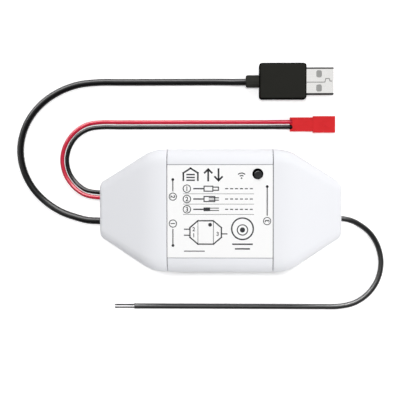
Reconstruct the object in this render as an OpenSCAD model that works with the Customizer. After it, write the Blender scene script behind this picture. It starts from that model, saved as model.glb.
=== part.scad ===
// Garage door controller: a white in-line housing with tapered ends, a push button on its face,
// a circuit board inside, and three leads: a USB power lead, a two-wire sensor lead with a red
// plug, and a two-core signal cable with stripped ends.
// Millimetres. The origin is at the middle of the flat back, +Z points out of the face,
// +X runs along the housing towards the signal cable.

/* [Housing] */
// Length of the housing between its flat ends
body_l = 105; // [97:1:120]
// Width of the housing
body_w = 53; // [50:0.5:60]
// Height of the housing from its back to its face
body_h = 25; // [23:0.5:30]
// Wall thickness of the moulded shells
wall = 2; // [1.6:0.1:2.3]
// Height of the split between the base and the covers
split_z = 8; // [7.5:0.25:9]
// Length of the centre cover, from seam to seam
centre_l = 45; // [42:0.5:47]
// Width of the open line at each seam
seam_gap = 0.3; // [0.1:0.05:0.4]
// Distance from a seam to where the sides and the face start to taper
taper_margin = 1.3; // [0.8:0.1:2]
// Width of the flat ends
end_w = 23.6; // [22:0.2:28]
// Height of the flat ends
end_h = 16.5; // [15:0.25:19]
// Radius of the bend where the sides start to taper
side_bend_r = 18; // [12:0.5:22]
// Radius of the bend where the face starts to slope
face_bend_r = 30; // [20:1:40]
// Radius of the long edges of the face, along the centre cover
edge_r = 6.4; // [5:0.1:7.5]
// Radius of the long edges of the face, at the flat ends
end_edge_r = 4; // [3:0.1:5]
// Radius of the corners round the flat ends
corner_r = 1.2; // [1:0.1:3]
// Radius of the rounded edge round the back
foot_r = 2; // [1:0.1:2.4]
// Height of the lip on the base that locates the covers
lip_h = 1.4; // [0.8:0.1:2]
// Length of the tongues of the centre cover under the end covers
tongue_l = 2.5; // [1.5:0.1:4]
// Thickness of those tongues
tongue_t = 1; // [0.8:0.1:1.2]
// Clearance between moulded pieces that locate each other
fit_clear = 0.15; // [0.1:0.05:0.25]

/* [Housing screws] */
// Thread diameter of the screws that hold the end covers
screw_d = 2.2; // [2:0.1:2.6]
// Head diameter of those screws
screw_head_d = 4.4; // [4:0.1:5]
// Head height of those screws
screw_head_h = 1.7; // [1.4:0.1:2]
// Depth of each head's seat below the back
screw_seat = 2.6; // [2.2:0.1:3]
// Length of thread in the end cover
screw_bite = 7; // [5:0.5:8]
// Thickness of plastic round a screw
boss_wall = 1.4; // [1.2:0.1:1.8]

/* [Label and button] */
// Thickness of the face label
label_t = 0.2; // [0.1:0.05:0.3]
// Open line between the label and the edge of its recess
label_gap = 0.3; // [0.15:0.05:0.4]
// Depth of the groove along the label's two long edges
label_groove = 0.7; // [0.3:0.05:0.9]
// Button position along the housing
button_x = 16.1; // [13:0.1:17]
// Button position across the housing
button_y = 16; // [13:0.1:16.2]
// Diameter of the button
button_d = 4.3; // [3.9:0.1:5]
// Clearance between the button and its hole, on the radius
button_clear = 0.2; // [0.1:0.05:0.25]
// Height of the button's rim above the label
button_rim = 0.3; // [0.2:0.05:0.5]
// Diameter of the raised middle of the button
button_top_d = 3.5; // [3:0.1:3.8]
// Height of the raised middle above the label
button_proud = 1; // [0.8:0.1:1.5]
// Radius of the button's rounded edges
button_edge_r = 0.2; // [0.1:0.05:0.25]
// Travel of the button
button_travel = 0.3; // [0.2:0.05:0.5]
// Length of the guide tube behind the face
button_guide_l = 2.8; // [2:0.2:3.4]
// Diameter of the button's stem
button_stem_d = 3.2; // [2.6:0.1:3.6]

/* [Circuit board] */
// Length of the circuit board
board_l = 62; // [58:0.5:63]
// Width of the circuit board
board_w = 40; // [39:0.5:42]
// Thickness of the circuit board
board_t = 1.6; // [1.2:0.2:2]
// Height of the underside of the circuit board
board_z = 6.5; // [6:0.1:7]
// Distance of the board screws from the board's edges
board_screw_edge = 4; // [3.4:0.1:4.5]
// Thread diameter of the board screws
board_screw_d = 1.6; // [1.4:0.1:2]
// Side of the push switch
switch_w = 6; // [5.8:0.1:6.4]
// Height of the push switch's body
switch_h = 3.5; // [3.2:0.1:3.8]
// Diameter of the push switch's plunger
plunger_d = 3.4; // [3.2:0.1:3.6]
// Height of the plunger's top above the board
plunger_h = 5; // [4.7:0.1:6]

/* [Leads] */
// Diameter of the power cord
power_d = 3; // [2.6:0.1:3.4]
// Diameter of each sensor wire
sensor_d = 1.85; // [1.7:0.05:1.95]
// Distance between the two sensor wires
sensor_pitch = 2.3; // [2.25:0.05:2.5]
// Diameter of the signal cable
signal_d = 2.4; // [2.2:0.1:2.8]
// Where the power cord leaves the left end, across the housing
power_y = -5.2; // [-5.6:0.1:-4.6]
// Where the sensor wires leave the left end, across the housing
sensor_y = 6.3; // [5.6:0.1:6.6]
// Where the signal cable leaves the right end, across the housing
signal_y = -4.1; // [-5:0.1:-3]
// Diameter of the thin leads inside the housing
inner_lead_d = 1.2; // [1:0.1:1.4]
// Diameter of the two stripped conductors of the signal cable
conductor_d = 0.5; // [0.4:0.05:0.6]
// Distance between the two stripped conductors
conductor_pitch = 1.15; // [1.1:0.05:1.3]
// Length of the stripped conductors
conductor_l = 8.9; // [6:0.1:12]

/* [USB plug] */
// Length of the plug's moulded body
plug_l = 20.8; // [18:0.2:24]
// Width of the plug's moulded body
plug_w = 16; // [15:0.2:17]
// Thickness of the plug's moulded body
plug_h = 8; // [7.4:0.1:9]
// Radius of the edges of the moulded body
plug_edge_r = 1.3; // [0.8:0.1:1.8]
// Length of the neck between the cord and the moulded body
neck_l = 5.9; // [5:0.1:8]
// Diameter of that neck
neck_d = 5.5; // [4.6:0.1:6]
// Radius of the rear edge of that neck
neck_edge_r = 0.8; // [0.4:0.1:1]
// Width of the metal shell
usb_w = 12; // [11.9:0.05:12.1]
// Thickness of the metal shell
usb_h = 4.5; // [4.4:0.05:4.6]
// Sheet thickness of the metal shell
usb_sheet = 0.3; // [0.25:0.05:0.35]
// Length of the shell outside the moulded body
usb_l = 11.9; // [11.6:0.1:12.2]
// Length of the shell inside the moulded body
usb_root = 6; // [4:0.5:8]
// Thickness of the insulator in the shell
tongue_h = 1.9; // [1.7:0.05:2]

/* [Sensor plug] */
// Length of the rear of the red plug
rear_l = 10.2; // [9:0.1:12]
// Width of the rear of the red plug
rear_w = 6.2; // [6:0.1:6.5]
// Thickness of the rear of the red plug
rear_h = 4.2; // [4:0.1:4.6]
// Length of the open front of the red plug
front_l = 9.7; // [8.5:0.1:11]
// Width of the open front of the red plug
front_w = 7.3; // [7.2:0.1:8]
// Thickness of the open front of the red plug
front_h = 4.7; // [4.6:0.1:5.8]
// Wall of the open front
front_wall = 0.75; // [0.6:0.05:0.85]
// Depth of the open front
front_depth = 8; // [6.5:0.1:8.2]
// Diameter of the contact pins
pin_d = 1; // [0.8:0.05:1.2]

/* [Hidden] */
$fn = 64;
cut = 0.5;                      // how far a cut runs past the face it opens
arc_n = 10;                     // steps in each rounded edge of a lofted section
bend_n = 8;                     // steps along the bend of a taper
corner_n = 6;                   // steps round the corner of a flat end
foot_n = 5;                     // steps in the rounded edge round the back
tube_n = 8;                     // sides of a swept cord

// The housing's tapers
taper_x = centre_l/2 + taper_margin;
taper_run = body_l/2 - taper_x;
side_a = taper_angle(taper_run, (body_w - end_w)/2, side_bend_r);
face_a = taper_angle(taper_run, body_h - end_h, face_bend_r);
bend_run = max(side_bend_r*sin(side_a), face_bend_r*sin(face_a));

// The split joint
lip_inset = wall/2 + fit_clear;
rebate_top = split_z + lip_h + fit_clear;

// The housing screws stand beyond the board's ends, clear of the side walls
post_r = screw_head_d/2 + fit_clear + boss_wall;
boss_r = screw_d/2 + boss_wall;
post_x = board_l/2 + post_r + 0.8;
post_y = half_w(post_x + post_r, wall) - post_r;
posts = [for (sx = [-1, 1], sy = [-1, 1]) [sx*post_x, sy*post_y]];

// The label and the button
label_w = body_w - 2*edge_r;
face_floor = body_h - label_t;
button_hole_r = button_d/2 + button_clear;
guide_z = body_h - wall - button_guide_l;
guide_r = button_hole_r + 1.4;
flange_r = button_hole_r + 0.9;
flange_t = 1;
pad_shift = (button_d - button_top_d)/2*[0.5, -1];   // from the button's axis to its raised middle

// The circuit board and what stands on it
board_top = board_z + board_t;
board_screws_at = [for (sx = [-1, 1], sy = [-1, 1])
    [sx*(board_l/2 - board_screw_edge), sy*(board_w/2 - board_screw_edge)]];
board_post_r = board_screw_d/2 + 1.5;
board_head_d = 2*board_screw_d;
board_head_h = 1.2;
board_screw_bite = board_z - wall - 0.9;
plunger_top = board_top + plunger_h;
header_l = 6;
header_w = 6.4;
header_h = 5.4;
header_x = board_l/2 - 0.5;     // outer face of each wire header
header_pitch = 2.5;
header_pocket = 1.6;
lead_z = board_top + header_h/2;
part_gap = 0.8;                 // least gap between parts on the board
field_x = header_x - header_l - part_gap;
module_size = [24, 16, 0.8];
module_at = [-field_x + module_size.x/2, 8];
shield_size = [15, 12.6, 2.4];
shield_sheet = 0.2;
regulator_size = [3.5, 6.5, 1.7];
regulator_at = [-field_x + regulator_size.x/2, -9];
can_r = [3.15, 2.5, 2.5];       // radius and height of each capacitor, and the side of its foot
can_h = [7.7, 5.4, 5.4];
can_side = [for (r = can_r) 2*r + 0.4];
can_x = [for (k = 0, x = regulator_at.x + regulator_size.x/2 + part_gap + can_side[0]/2; k < 3;
    x = x + (can_side[k] + can_side[min(k + 1, 2)])/2 + part_gap, k = k + 1) x];
can_y = -13;
relay_size = [12.5, 7.5, 10];
relay_at = [field_x - relay_size.x/2, -11];
relay_vent = [2, 2, 0.4];       // notch under each end of the relay
relay_pin_d = 0.6;
relay_pins_at = [for (p = [[-5, -2.5], [-5, 2.5], [0, -2.5], [5, -2.5], [5, 2.5]]) relay_at + p];
diode_size = [4.4, 2.6, 2.2];
diode_at = [relay_at.x, relay_at.y + relay_size.y/2 + part_gap + diode_size.y/2];
opto_size = [4.6, 6.5, 2.4];
opto_at = [module_at.x + module_size.x/2 + part_gap + opto_size.x/2, 13];
led_size = [1.6, 0.8, 0.6];
led_at = [button_x - switch_w/2 - part_gap - led_size.x/2, button_y];
resistor_size = [0.8, 1.6, 0.5];
resistor_step = [2.5, 3];

// Where each cord passes the end wall, and its grip inside
grip_flange_t = 1.5;
rib_t = 1.5;
grip_clear = 0.1;
grip_flange_x = body_l/2 - wall - grip_clear;
rib_x = grip_flange_x - grip_flange_t - grip_clear;
grip_end_x = rib_x - rib_t - 1.6;
sensor_ys = [sensor_y - sensor_pitch/2, sensor_y + sensor_pitch/2];

// Cord routes. A point is [x from the end face, y from the exit, lift]. A lift of 0 is on the
// ground, 1 is at the height of the exit, and -1 is at the height of the plug.
power_route = [
    [0, 0, 1], [-1.5, 0, 1], [-6, 0.2, 0.95], [-10.8, 1.2, 0.8], [-19.2, 4, 0.42], [-26.7, 8.7, 0.1],
    [-32.4, 14.9, 0], [-36, 22.3, 0], [-37.4, 30.3, 0], [-36.3, 38.4, 0], [-32.8, 46, 0],
    [-27.1, 52.5, 0], [-19.7, 57.4, 0], [-11, 60.5, 0], [-1.5, 61.5, 0], [7, 61.5, 0], [16, 61.5, 0],
    [26, 61.5, 0], [36, 61.5, 0], [44, 61.5, 0], [50, 61.5, -0.12], [55, 61.4, -0.45],
    [59, 61.3, -0.85], [61.5, 61.3, -1], [63.6, 61.3, -1]];
red_route = [
    [0, 0, 1], [-1.5, 0, 1], [-5, 0.4, 0.92], [-8.5, 1.4, 0.72], [-13.5, 4.7, 0.3], [-17.4, 10.2, 0.05],
    [-18.7, 16.7, 0], [-17.2, 23.2, 0], [-13.4, 28.6, 0], [-8, 32.2, 0], [-1.5, 33.4, 0], [8, 33.4, 0],
    [22, 33.4, 0], [38, 33.4, 0], [54, 33.4, 0], [68, 33.4, 0], [74, 33.4, -0.2], [78, 33.4, -0.7],
    [81, 33.4, -1], [84.4, 33.4, -1]];
black_route = [
    [0, 0, 1], [-1.5, 0, 1], [-4.5, 0.3, 0.92], [-7.6, 1.1, 0.72], [-12, 4, 0.3], [-15.4, 8.7, 0.05],
    [-16.5, 14.3, 0], [-15.2, 20, 0], [-12, 24.7, 0], [-7.1, 27.8, 0], [-1.5, 28.8, 0], [8, 28.8, 0],
    [22, 28.8, 0], [38, 28.8, 0], [54, 28.8, 0], [68, 28.8, 0], [74, 28.8, -0.2], [78, 28.8, -0.7],
    [81, 28.8, -1], [84.4, 28.8, -1]];
signal_route = [
    [0, 0, 1], [1, 0, 1], [4.5, -0.7, 0.95], [7.9, -2.2, 0.8], [13.6, -6.5, 0.4], [17.6, -12.8, 0.08],
    [19.1, -20.3, 0], [17.6, -27.8, 0], [13.5, -34, 0], [7.7, -38.1, 0], [1, -39.8, 0], [-8, -40, 0],
    [-22, -40, 0], [-38, -40, 0], [-54, -40, 0], [-70, -40, 0], [-82, -40, 0], [-91.4, -40, 0]];
plug_z = plug_h/2;
sensor_plug_z = front_h/2;
wire_seat = 1.2;                // depth of the wires in the rear of the red plug
seat_clear = 0.12;              // clearance round them
seat_r = sensor_d/2 + seat_clear;
latch_w = 3.6;                  // width and height of the latch ramp on the red plug
latch_h = 0.3;
latch_tip = 3.2;                // from the step of that plug to the ramp's tip
latch_end = 1.9;                // from the ramp's high end to the plug's open end
neck_shift = 0.3;               // from the power cord's middle to the middle of its plug
power_path = route_path(power_route, [-body_l/2, power_y], power_d/2, plug_z);
red_path = route_path(red_route, [-body_l/2, sensor_ys[0]], sensor_d/2, sensor_plug_z);
black_path = route_path(black_route, [-body_l/2, sensor_ys[1]], sensor_d/2, sensor_plug_z);
signal_path = route_path(signal_route, [body_l/2, signal_y], signal_d/2, plug_z);

// The USB plug's metal and contacts
usb_fold_r = 0.6;
window_l = 2.4;
window_w = 3.1;
window_x = 5.2;                 // from the tip to the windows
window_y = 3.1;                 // from the middle to the middle of each window
insulator_w = usb_w - 2*usb_fold_r;
insulator_z = usb_h/2 - usb_sheet - tongue_h;
contact_pitch = 2.3;
contact_w = 1;
contact_t = 0.2;
power_contact_x = 2.4;          // from the tip to the outer and to the inner contacts
data_contact_x = 3.4;

// The plugs stand at the far ends of their cords
neck_at = power_path[len(power_path) - 1] + [0, neck_shift, 0];
plug_at = neck_at + [neck_l, 0, 0];
usb_at = plug_at + [plug_l, 0, 0];
red_end = red_path[len(red_path) - 1];
black_end = black_path[len(black_path) - 1];
rear_at = (red_end + black_end)/2 - [wire_seat, 0, 0];
front_at = rear_at + [rear_l, 0, 0];
pin_pitch = norm(red_end - black_end);
strip_at = signal_path[len(signal_path) - 1];

// Angle of a straight taper that follows a bend of radius r and falls by fall over run
function taper_angle(run, fall, r) = asin(r/norm([run, r - fall])) - atan2(r - fall, run);

// How far a taper of radius r and angle a has fallen at distance t from the middle
function taper_fall(t, r, a) =
    let (d = t - taper_x)
    d <= 0 ? 0
    : d < r*sin(a) ? r - sqrt(r*r - d*d)
    : r*(1 - cos(a)) + (d - r*sin(a))*tan(a);

// Half the housing's width, and the height of its face, at distance t from the middle
function half_w(t, inset = 0) = body_w/2 - inset - taper_fall(t, side_bend_r - inset, side_a);
function face_z(t, inset = 0) = body_h - inset - taper_fall(t, face_bend_r - inset, face_a);

// Radius of the long edge of the face at distance t from the middle
function long_edge_r(t) = edge_r + (end_edge_r - edge_r)*max(0, t - taper_x)/taper_run;

// Stations along one half of the housing, as [distance from the middle, inset of the corner]
function stations(inset) =
    let (r = max(corner_r - inset, 0.3), x_end = body_l/2 - inset)
    concat(
        [for (k = [0:bend_n]) [taper_x + bend_run*k/bend_n, 0]],
        [for (k = [0:corner_n]) let (a = 90*k/corner_n) [x_end - r*(1 - sin(a)), r*(1 - cos(a))]]);

// Plan outline of the housing at an inset from its outer face
function plan_outline(inset) =
    let (q = [for (s = stations(inset)) [s.x, half_w(s.x, inset + s.y)]], n = len(q))
    concat(
        q, [for (k = [n - 1:-1:0]) [q[k].x, -q[k].y]],
        [for (k = [0:n - 1]) [-q[k].x, -q[k].y]], [for (k = [n - 1:-1:0]) [-q[k].x, q[k].y]]);

// Outline across a cover at distance t, from the split over the face and down to the split
function cover_ring(t, inset, z0) =
    let (w = half_w(t, inset), z = face_z(t, inset), r = max(long_edge_r(t) - inset, 0.4))
    concat(
        [[t, -w, z0]],
        [for (k = [0:arc_n]) let (a = 90*k/arc_n) [t, -w + r*(1 - cos(a)), z - r*(1 - sin(a))]],
        [for (k = [arc_n:-1:0]) let (a = 90*k/arc_n) [t, w - r*(1 - cos(a)), z - r*(1 - sin(a))]],
        [[t, w, z0]]);

// Rings of an end cover from x0 to its flat end
function end_rings(x0, inset, z0) = concat(
    [cover_ring(x0, inset, z0)],
    [for (s = stations(inset)) if (s.x > x0) cover_ring(s.x, inset + s.y, z0)]);

// A cord's path in the part's own frame
function route_path(route, exit, r, end_z) = [for (p = route)
    [exit.x + p.x, exit.y + p.y, p.z >= 0 ? r + p.z*(split_z - r) : r - p.z*(end_z - r)]];

// Direction of a path at point k, which runs straight at both ends
function path_way(path, k) =
    let (n = len(path) - 1, v = path[min(k + 1, n)] - path[max(k - 1, 0)])
    k == 0 || k == n ? [sign(v.x), 0, 0] : v/norm(v);

// Closed solid through rings that have the same number of points
module loft(rings) {
    n = len(rings[0]);
    m = len(rings);
    polyhedron(
        [for (r = rings) each r],
        concat(
            [[for (k = [n - 1:-1:0]) k]],
            [for (j = [0:m - 2], k = [0:n - 1]) each
                [[j*n + k, j*n + (k + 1)%n, (j + 1)*n + k],
                 [j*n + (k + 1)%n, (j + 1)*n + (k + 1)%n, (j + 1)*n + k]]],
            [[for (k = [0:n - 1]) (m - 1)*n + k]]));
}

// Round cord swept along a path
module cord_tube(path, d) {
    loft([for (k = [0:len(path) - 1])
        let (way = path_way(path, k), side = cross([0, 0, 1], way)/norm(cross([0, 0, 1], way)),
            up = cross(way, side))
        [for (j = [0:tube_n - 1]) let (a = -360*(j + 0.5)/tube_n)
            path[k] + d/2/cos(180/tube_n)*(cos(a)*side + sin(a)*up)]]);
}

// Block along +X from the origin, with all its edges rounded
module soft_block(l, w, h, r) {
    n = 5;
    ends = [for (k = [0:n]) let (a = 90*k/n) [r*(1 - cos(a)), r*(1 - sin(a))]];
    loft([for (s = concat(ends, [for (k = [n:-1:0]) [l - ends[k].x, ends[k].y]]))
        let (c = r - s.y + 0.1)
        [for (q = [0:3], k = [0:n]) let (a = -90*q - 90*k/n)
            [s.x, [1, -1, -1, 1][q]*(w/2 - s.y - c) + c*cos(a),
             [-1, -1, 1, 1][q]*(h/2 - s.y - c) + c*sin(a)]]]);
}

// Rectangle with round corners, centred
module rounded_rect(w, h, r) {
    square([w - 2*r, h], center = true);
    square([w, h - 2*r], center = true);
    for (x = [-1, 1], y = [-1, 1]) translate([x*(w/2 - r), y*(h/2 - r)]) circle(r);
}

// Cylinder along +X from a point
module rod_x(at, r, l) {
    translate(at) rotate([0, 90, 0]) cylinder(r = r, h = l);
}

// Block on the board, centred on a point
module chip(at, size) {
    translate([at.x - size.x/2, at.y - size.y/2, board_top]) cube(size);
}

// Solid inside the lofted faces of a cover beyond a seam
module end_solid(x0, inset, z0) {
    loft(end_rings(x0, inset, z0));
}

// Section across the centre cover
module centre_section(inset, z0) {
    w = body_w/2 - inset;
    z = body_h - inset;
    r = edge_r - inset;
    translate([-w, z0]) square([2*w, z - r - z0]);
    translate([r - w, z0]) square([2*(w - r), z - z0]);
    for (s = [-1, 1]) translate([s*(w - r), z - r]) circle(r);
}

// A section across the housing, carried along from x0 to x1
module along_x(x0, x1) {
    translate([x0, 0, 0]) rotate([90, 0, 90]) linear_extrude(x1 - x0) children();
}

// Space for the base's lip inside the foot of a cover
module lip_rebate() {
    translate([0, 0, split_z - cut]) linear_extrude(rebate_top - split_z + cut) difference() {
        polygon(plan_outline(wall/2));
        polygon(plan_outline(wall + 0.02));
    }
}

// Holes for the cords through the end walls, and one slot for the two sensor wires
module cord_holes() {
    l = body_l/2 - rib_x + rib_t + cut + 1;
    rod_x([-body_l/2 - cut, power_y, split_z], power_d/2 + grip_clear, l);
    r = sensor_d/2 + grip_clear;
    for (y = sensor_ys) rod_x([-body_l/2 - cut, y, split_z], r, l);
    translate([-body_l/2 - cut, sensor_ys[0], split_z - r]) cube([l, sensor_pitch, 2*r]);
    rod_x([body_l/2 + cut - l, signal_y, split_z], signal_d/2 + grip_clear, l);
}

// Moulded base: floor, walls, lip, posts for the screws and ribs that hold the cord grips
module base_shell() color("whitesmoke") difference() {
    union() {
        difference() {
            loft(concat(
                [for (k = [0:foot_n]) let (a = 90*k/foot_n)
                    [for (p = plan_outline(foot_r*(1 - sin(a)))) [p.x, p.y, foot_r*(1 - cos(a))]]],
                [[for (p = plan_outline(0)) [p.x, p.y, split_z]]]));
            translate([0, 0, wall]) linear_extrude(split_z) polygon(plan_outline(wall));
        }
        translate([0, 0, split_z - cut]) linear_extrude(lip_h + cut) difference() {
            polygon(plan_outline(lip_inset));
            polygon(plan_outline(wall));
        }
        for (p = posts) translate([p.x, p.y, wall - cut]) cylinder(r = post_r, h = split_z - wall + cut);
        for (p = board_screws_at)
            translate([p.x, p.y, wall - cut]) cylinder(r = board_post_r, h = board_z - wall + cut);
        for (s = [-1, 1]) translate([s*(rib_x - rib_t/2) - rib_t/2, -half_w(rib_x, wall/2), wall - cut])
            cube([rib_t, 2*half_w(rib_x, wall/2), split_z - wall + cut]);
    }
    cord_holes();
    for (p = posts) translate([p.x, p.y, -cut]) {
        cylinder(r = screw_head_d/2 + fit_clear, h = screw_seat + cut);
        cylinder(r = screw_d/2 + fit_clear, h = split_z + 2*cut);
    }
    for (p = board_screws_at)
        translate([p.x, p.y, wall]) cylinder(r = board_screw_d/2 + 0.03, h = board_z);
}

// Centre cover: face with the label's recess and its grooves, button hole with its guide, tongues
// at both seams
module centre_cover() color("white") difference() {
    union() {
        difference() {
            along_x(-centre_l/2, centre_l/2) centre_section(0, split_z);
            along_x(-centre_l/2 - cut, centre_l/2 + cut) centre_section(wall, split_z - cut);
        }
        for (s = [-1, 1]) mirror([s < 0 ? 1 : 0, 0, 0]) {
            along_x(centre_l/2 - tongue_l, centre_l/2 + tongue_l) difference() {
                centre_section(wall + fit_clear, split_z);
                centre_section(wall + fit_clear + tongue_t, split_z - cut);
            }
            along_x(centre_l/2 - tongue_l, centre_l/2) difference() {
                centre_section(wall/2, rebate_top);
                centre_section(wall + 2*fit_clear, rebate_top - cut);
            }
        }
        translate([button_x, button_y, guide_z]) cylinder(r = guide_r, h = button_guide_l + wall/2);
    }
    lip_rebate();
    translate([-centre_l/2 - cut, -label_w/2, face_floor]) cube([centre_l + 2*cut, label_w, label_t + cut]);
    for (s = [-1, 1]) translate([-centre_l/2 - cut, s*(label_w - label_gap)/2 - label_gap/2,
        face_floor - label_groove]) cube([centre_l + 2*cut, label_gap, label_groove + cut]);
    translate([button_x, button_y, guide_z - cut])
        cylinder(r = button_hole_r, h = button_guide_l + wall + 2*cut);
}

// End cover on the +X side, with bosses for its two screws
module end_cover() difference() {
    end_solid(centre_l/2 + seam_gap, 0, split_z);
    difference() {
        end_solid(centre_l/2 + seam_gap - cut, wall, split_z - cut);
        for (s = [-1, 1]) translate([post_x, s*post_y, split_z]) cylinder(r = boss_r, h = body_h);
    }
    lip_rebate();
    for (s = [-1, 1]) translate([post_x, s*post_y, split_z - cut])
        cylinder(r = screw_d/2 + 0.03, h = screw_bite + 2*cut);
}

module left_end_cover() color("whitesmoke") difference() {
    mirror([1, 0, 0]) end_cover();
    cord_holes();
}

module right_end_cover() color("whitesmoke") difference() {
    end_cover();
    cord_holes();
}

// Cross-head screw from the back, its head's underside at z
module cross_screw(at, head_d, head_h, d, l, z, up) {
    translate([at.x, at.y, z]) mirror([0, 0, up ? 0 : 1]) difference() {
        union() {
            translate([0, 0, -head_h]) cylinder(d = head_d, h = head_h);
            cylinder(d = d, h = l);
        }
        for (a = [0, 90]) rotate(a)
            translate([-head_d/4, -head_d/14, -head_h - cut]) cube([head_d/2, head_d/7, head_h/2 + cut]);
    }
}

module housing_screws() color("silver")
    for (p = posts) cross_screw(p, screw_head_d, screw_head_h, screw_d,
        split_z - screw_seat + screw_bite, screw_seat, true);

// Thin printed label in the recess of the centre cover
module face_label() color("white") difference() {
    translate([-centre_l/2, label_gap - label_w/2, face_floor])
        cube([centre_l, label_w - 2*label_gap, label_t]);
    translate([button_x, button_y, face_floor - cut]) cylinder(r = button_hole_r, h = label_t + 2*cut);
}

// Dark button with a retaining flange and a stem that reaches the switch
module button_cap() color("dimgray") translate([button_x, button_y, 0]) {
    translate([0, 0, plunger_top]) cylinder(d = button_stem_d, h = guide_z - plunger_top);
    translate([0, 0, guide_z - flange_t]) cylinder(r = flange_r, h = flange_t);
    rotate_extrude()
        translate([0, guide_z]) soft_step(button_d/2, body_h + button_rim - guide_z, button_edge_r);
    translate(pad_shift) rotate_extrude()
        translate([0, body_h]) soft_step(button_top_d/2, button_proud, button_edge_r);
}

// Half section of a round step with a rounded top edge
module soft_step(r, h, e) {
    square([r, h - e]);
    square([r - e, h]);
    translate([r - e, h - e]) circle(e);
}

// Push switch under the button: body with a bore, steel plate, plunger
module switch_body() color("black") difference() {
    chip([button_x, button_y], [switch_w, switch_w, switch_h - 0.3]);
    translate([button_x, button_y, board_top + 0.8]) cylinder(d = plunger_d + 0.3, h = switch_h);
}

module switch_plate() color("silver") translate([button_x, button_y, board_top + switch_h - 0.3])
    difference() {
        translate([-switch_w/2, -switch_w/2, 0]) cube([switch_w, switch_w, 0.3]);
        translate([0, 0, -cut]) cylinder(d = plunger_d + 0.3, h = 2*cut);
    }

module switch_plunger() color("black") translate([button_x, button_y, board_top + 0.9 + button_travel])
    cylinder(d = plunger_d, h = plunger_h - 0.9 - button_travel);

// Circuit board with holes for its screws and the relay's pins
module circuit_board() color("darkgreen") translate([0, 0, board_z]) linear_extrude(board_t) difference() {
    square([board_l, board_w], center = true);
    for (p = board_screws_at) translate(p) circle(d = board_screw_d + 0.6);
    for (p = relay_pins_at) translate(p) circle(d = relay_pin_d + 0.2);
}

module board_screws() color("silver")
    for (p = board_screws_at) cross_screw(p, board_head_d, board_head_h, board_screw_d,
        board_t + board_screw_bite, board_top, false);

module wireless_board() color("navy") chip(module_at, module_size);

// Sheet can over the wireless chip, clear of the aerial at the module's other end
module wireless_shield() color("lightgray") translate([0, 0, module_size.z]) difference() {
    at = module_at + [(module_size.x - shield_size.x)/2 - part_gap, 0];
    chip(at, shield_size);
    translate([0, 0, -shield_sheet]) chip(at, shield_size - [2, 2, 0]*shield_sheet);
}

module relay() color("steelblue") difference() {
    chip(relay_at, relay_size);
    for (s = [-1, 1]) translate([relay_at.x + (s*relay_size.x - relay_vent.x)/2, relay_at.y - relay_vent.y/2,
        board_top - cut]) cube([relay_vent.x, relay_vent.y, relay_vent.z + cut]);
}

module relay_pins() color("goldenrod")
    for (p = relay_pins_at) translate([p.x, p.y, board_z - 1.2]) cylinder(d = relay_pin_d, h = board_t + 1.2);

module voltage_regulator() color("black") chip(regulator_at, regulator_size);

module capacitors() color("silver") for (k = [0:2]) {
    translate([can_x[k], can_y, board_top]) cylinder(r = can_r[k], h = can_h[k]);
    chip([can_x[k], can_y], [can_side[k], can_side[k], 1]);
}

module optocoupler() color("black") chip(opto_at, opto_size);

module flyback_diode() color("black") chip(diode_at, diode_size);

module status_led() color("gold") chip(led_at, led_size);

module chip_resistors() color("black") for (i = [-2:2], j = [0, 1])
    chip([i*resistor_step.x, -2 - j*resistor_step.y], resistor_size);

// White header at the board's edge, with pockets for two leads
module wire_header(y, side) mirror([side < 0 ? 1 : 0, 0, 0]) difference() {
    chip([header_x - header_l/2, y], [header_l, header_w, header_h]);
    for (s = [-1, 1])
        rod_x([header_x - header_pocket, y + s*header_pitch/2, lead_z], inner_lead_d/2 + 0.12, 3);
}

module wire_headers() color("ivory") {
    wire_header(power_y, -1);
    wire_header(sensor_y, -1);
    wire_header(signal_y, 1);
}

// Moulded grip on a cord: through the end wall, with a flange between the wall and the rib
module cord_grip(ys, d, side) mirror([side < 0 ? 1 : 0, 0, 0]) {
    r = d/2 + 1.4;
    for (y = ys) rod_x([grip_end_x, y, split_z], d/2, body_l/2 - grip_end_x);
    for (y = ys) rod_x([grip_flange_x - grip_flange_t, y, split_z], r, grip_flange_t);
    translate([grip_flange_x - grip_flange_t, ys[0], split_z - r])
        cube([grip_flange_t, ys[len(ys) - 1] - ys[0] + 0.01, 2*r]);
}

module power_grip() color("black") cord_grip([power_y], power_d, -1);

module sensor_grip() color("black") cord_grip(sensor_ys, sensor_d, -1);

module signal_grip() color("black") cord_grip([signal_y], signal_d, 1);

// Two thin leads from a grip to a header
module lead_pair(y, pitch, side) mirror([side < 0 ? 1 : 0, 0, 0])
    for (s = [-1, 1]) let (y0 = y + s*pitch/2, y1 = y + s*header_pitch/2, mid = (grip_end_x + header_x)/2)
        cord_tube([[grip_end_x, y0, split_z], [grip_end_x - 1.5, y0, split_z],
            [mid, (y0 + y1)/2, (split_z + lead_z)/2], [header_x + 2, y1, lead_z],
            [header_x - header_pocket + 0.1, y1, lead_z]], inner_lead_d);

module power_leads() color("red") lead_pair(power_y, inner_lead_d + 0.1, -1);

module sensor_leads() color("red") lead_pair(sensor_y, sensor_pitch, -1);

module signal_leads() color("black") lead_pair(signal_y, inner_lead_d + 0.02, 1);

module power_cord() color("black") cord_tube(power_path, power_d);

module sensor_wire_red() color("crimson") cord_tube(red_path, sensor_d);

module sensor_wire_black() color("black") cord_tube(black_path, sensor_d);

module signal_cable() color("black") cord_tube(signal_path, signal_d);

// Stripped ends of the signal cable
module signal_conductors() color("dimgray") for (s = [-1, 1])
    rod_x(strip_at + [-conductor_l, s*conductor_pitch/2, 0], conductor_d/2, conductor_l);

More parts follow.
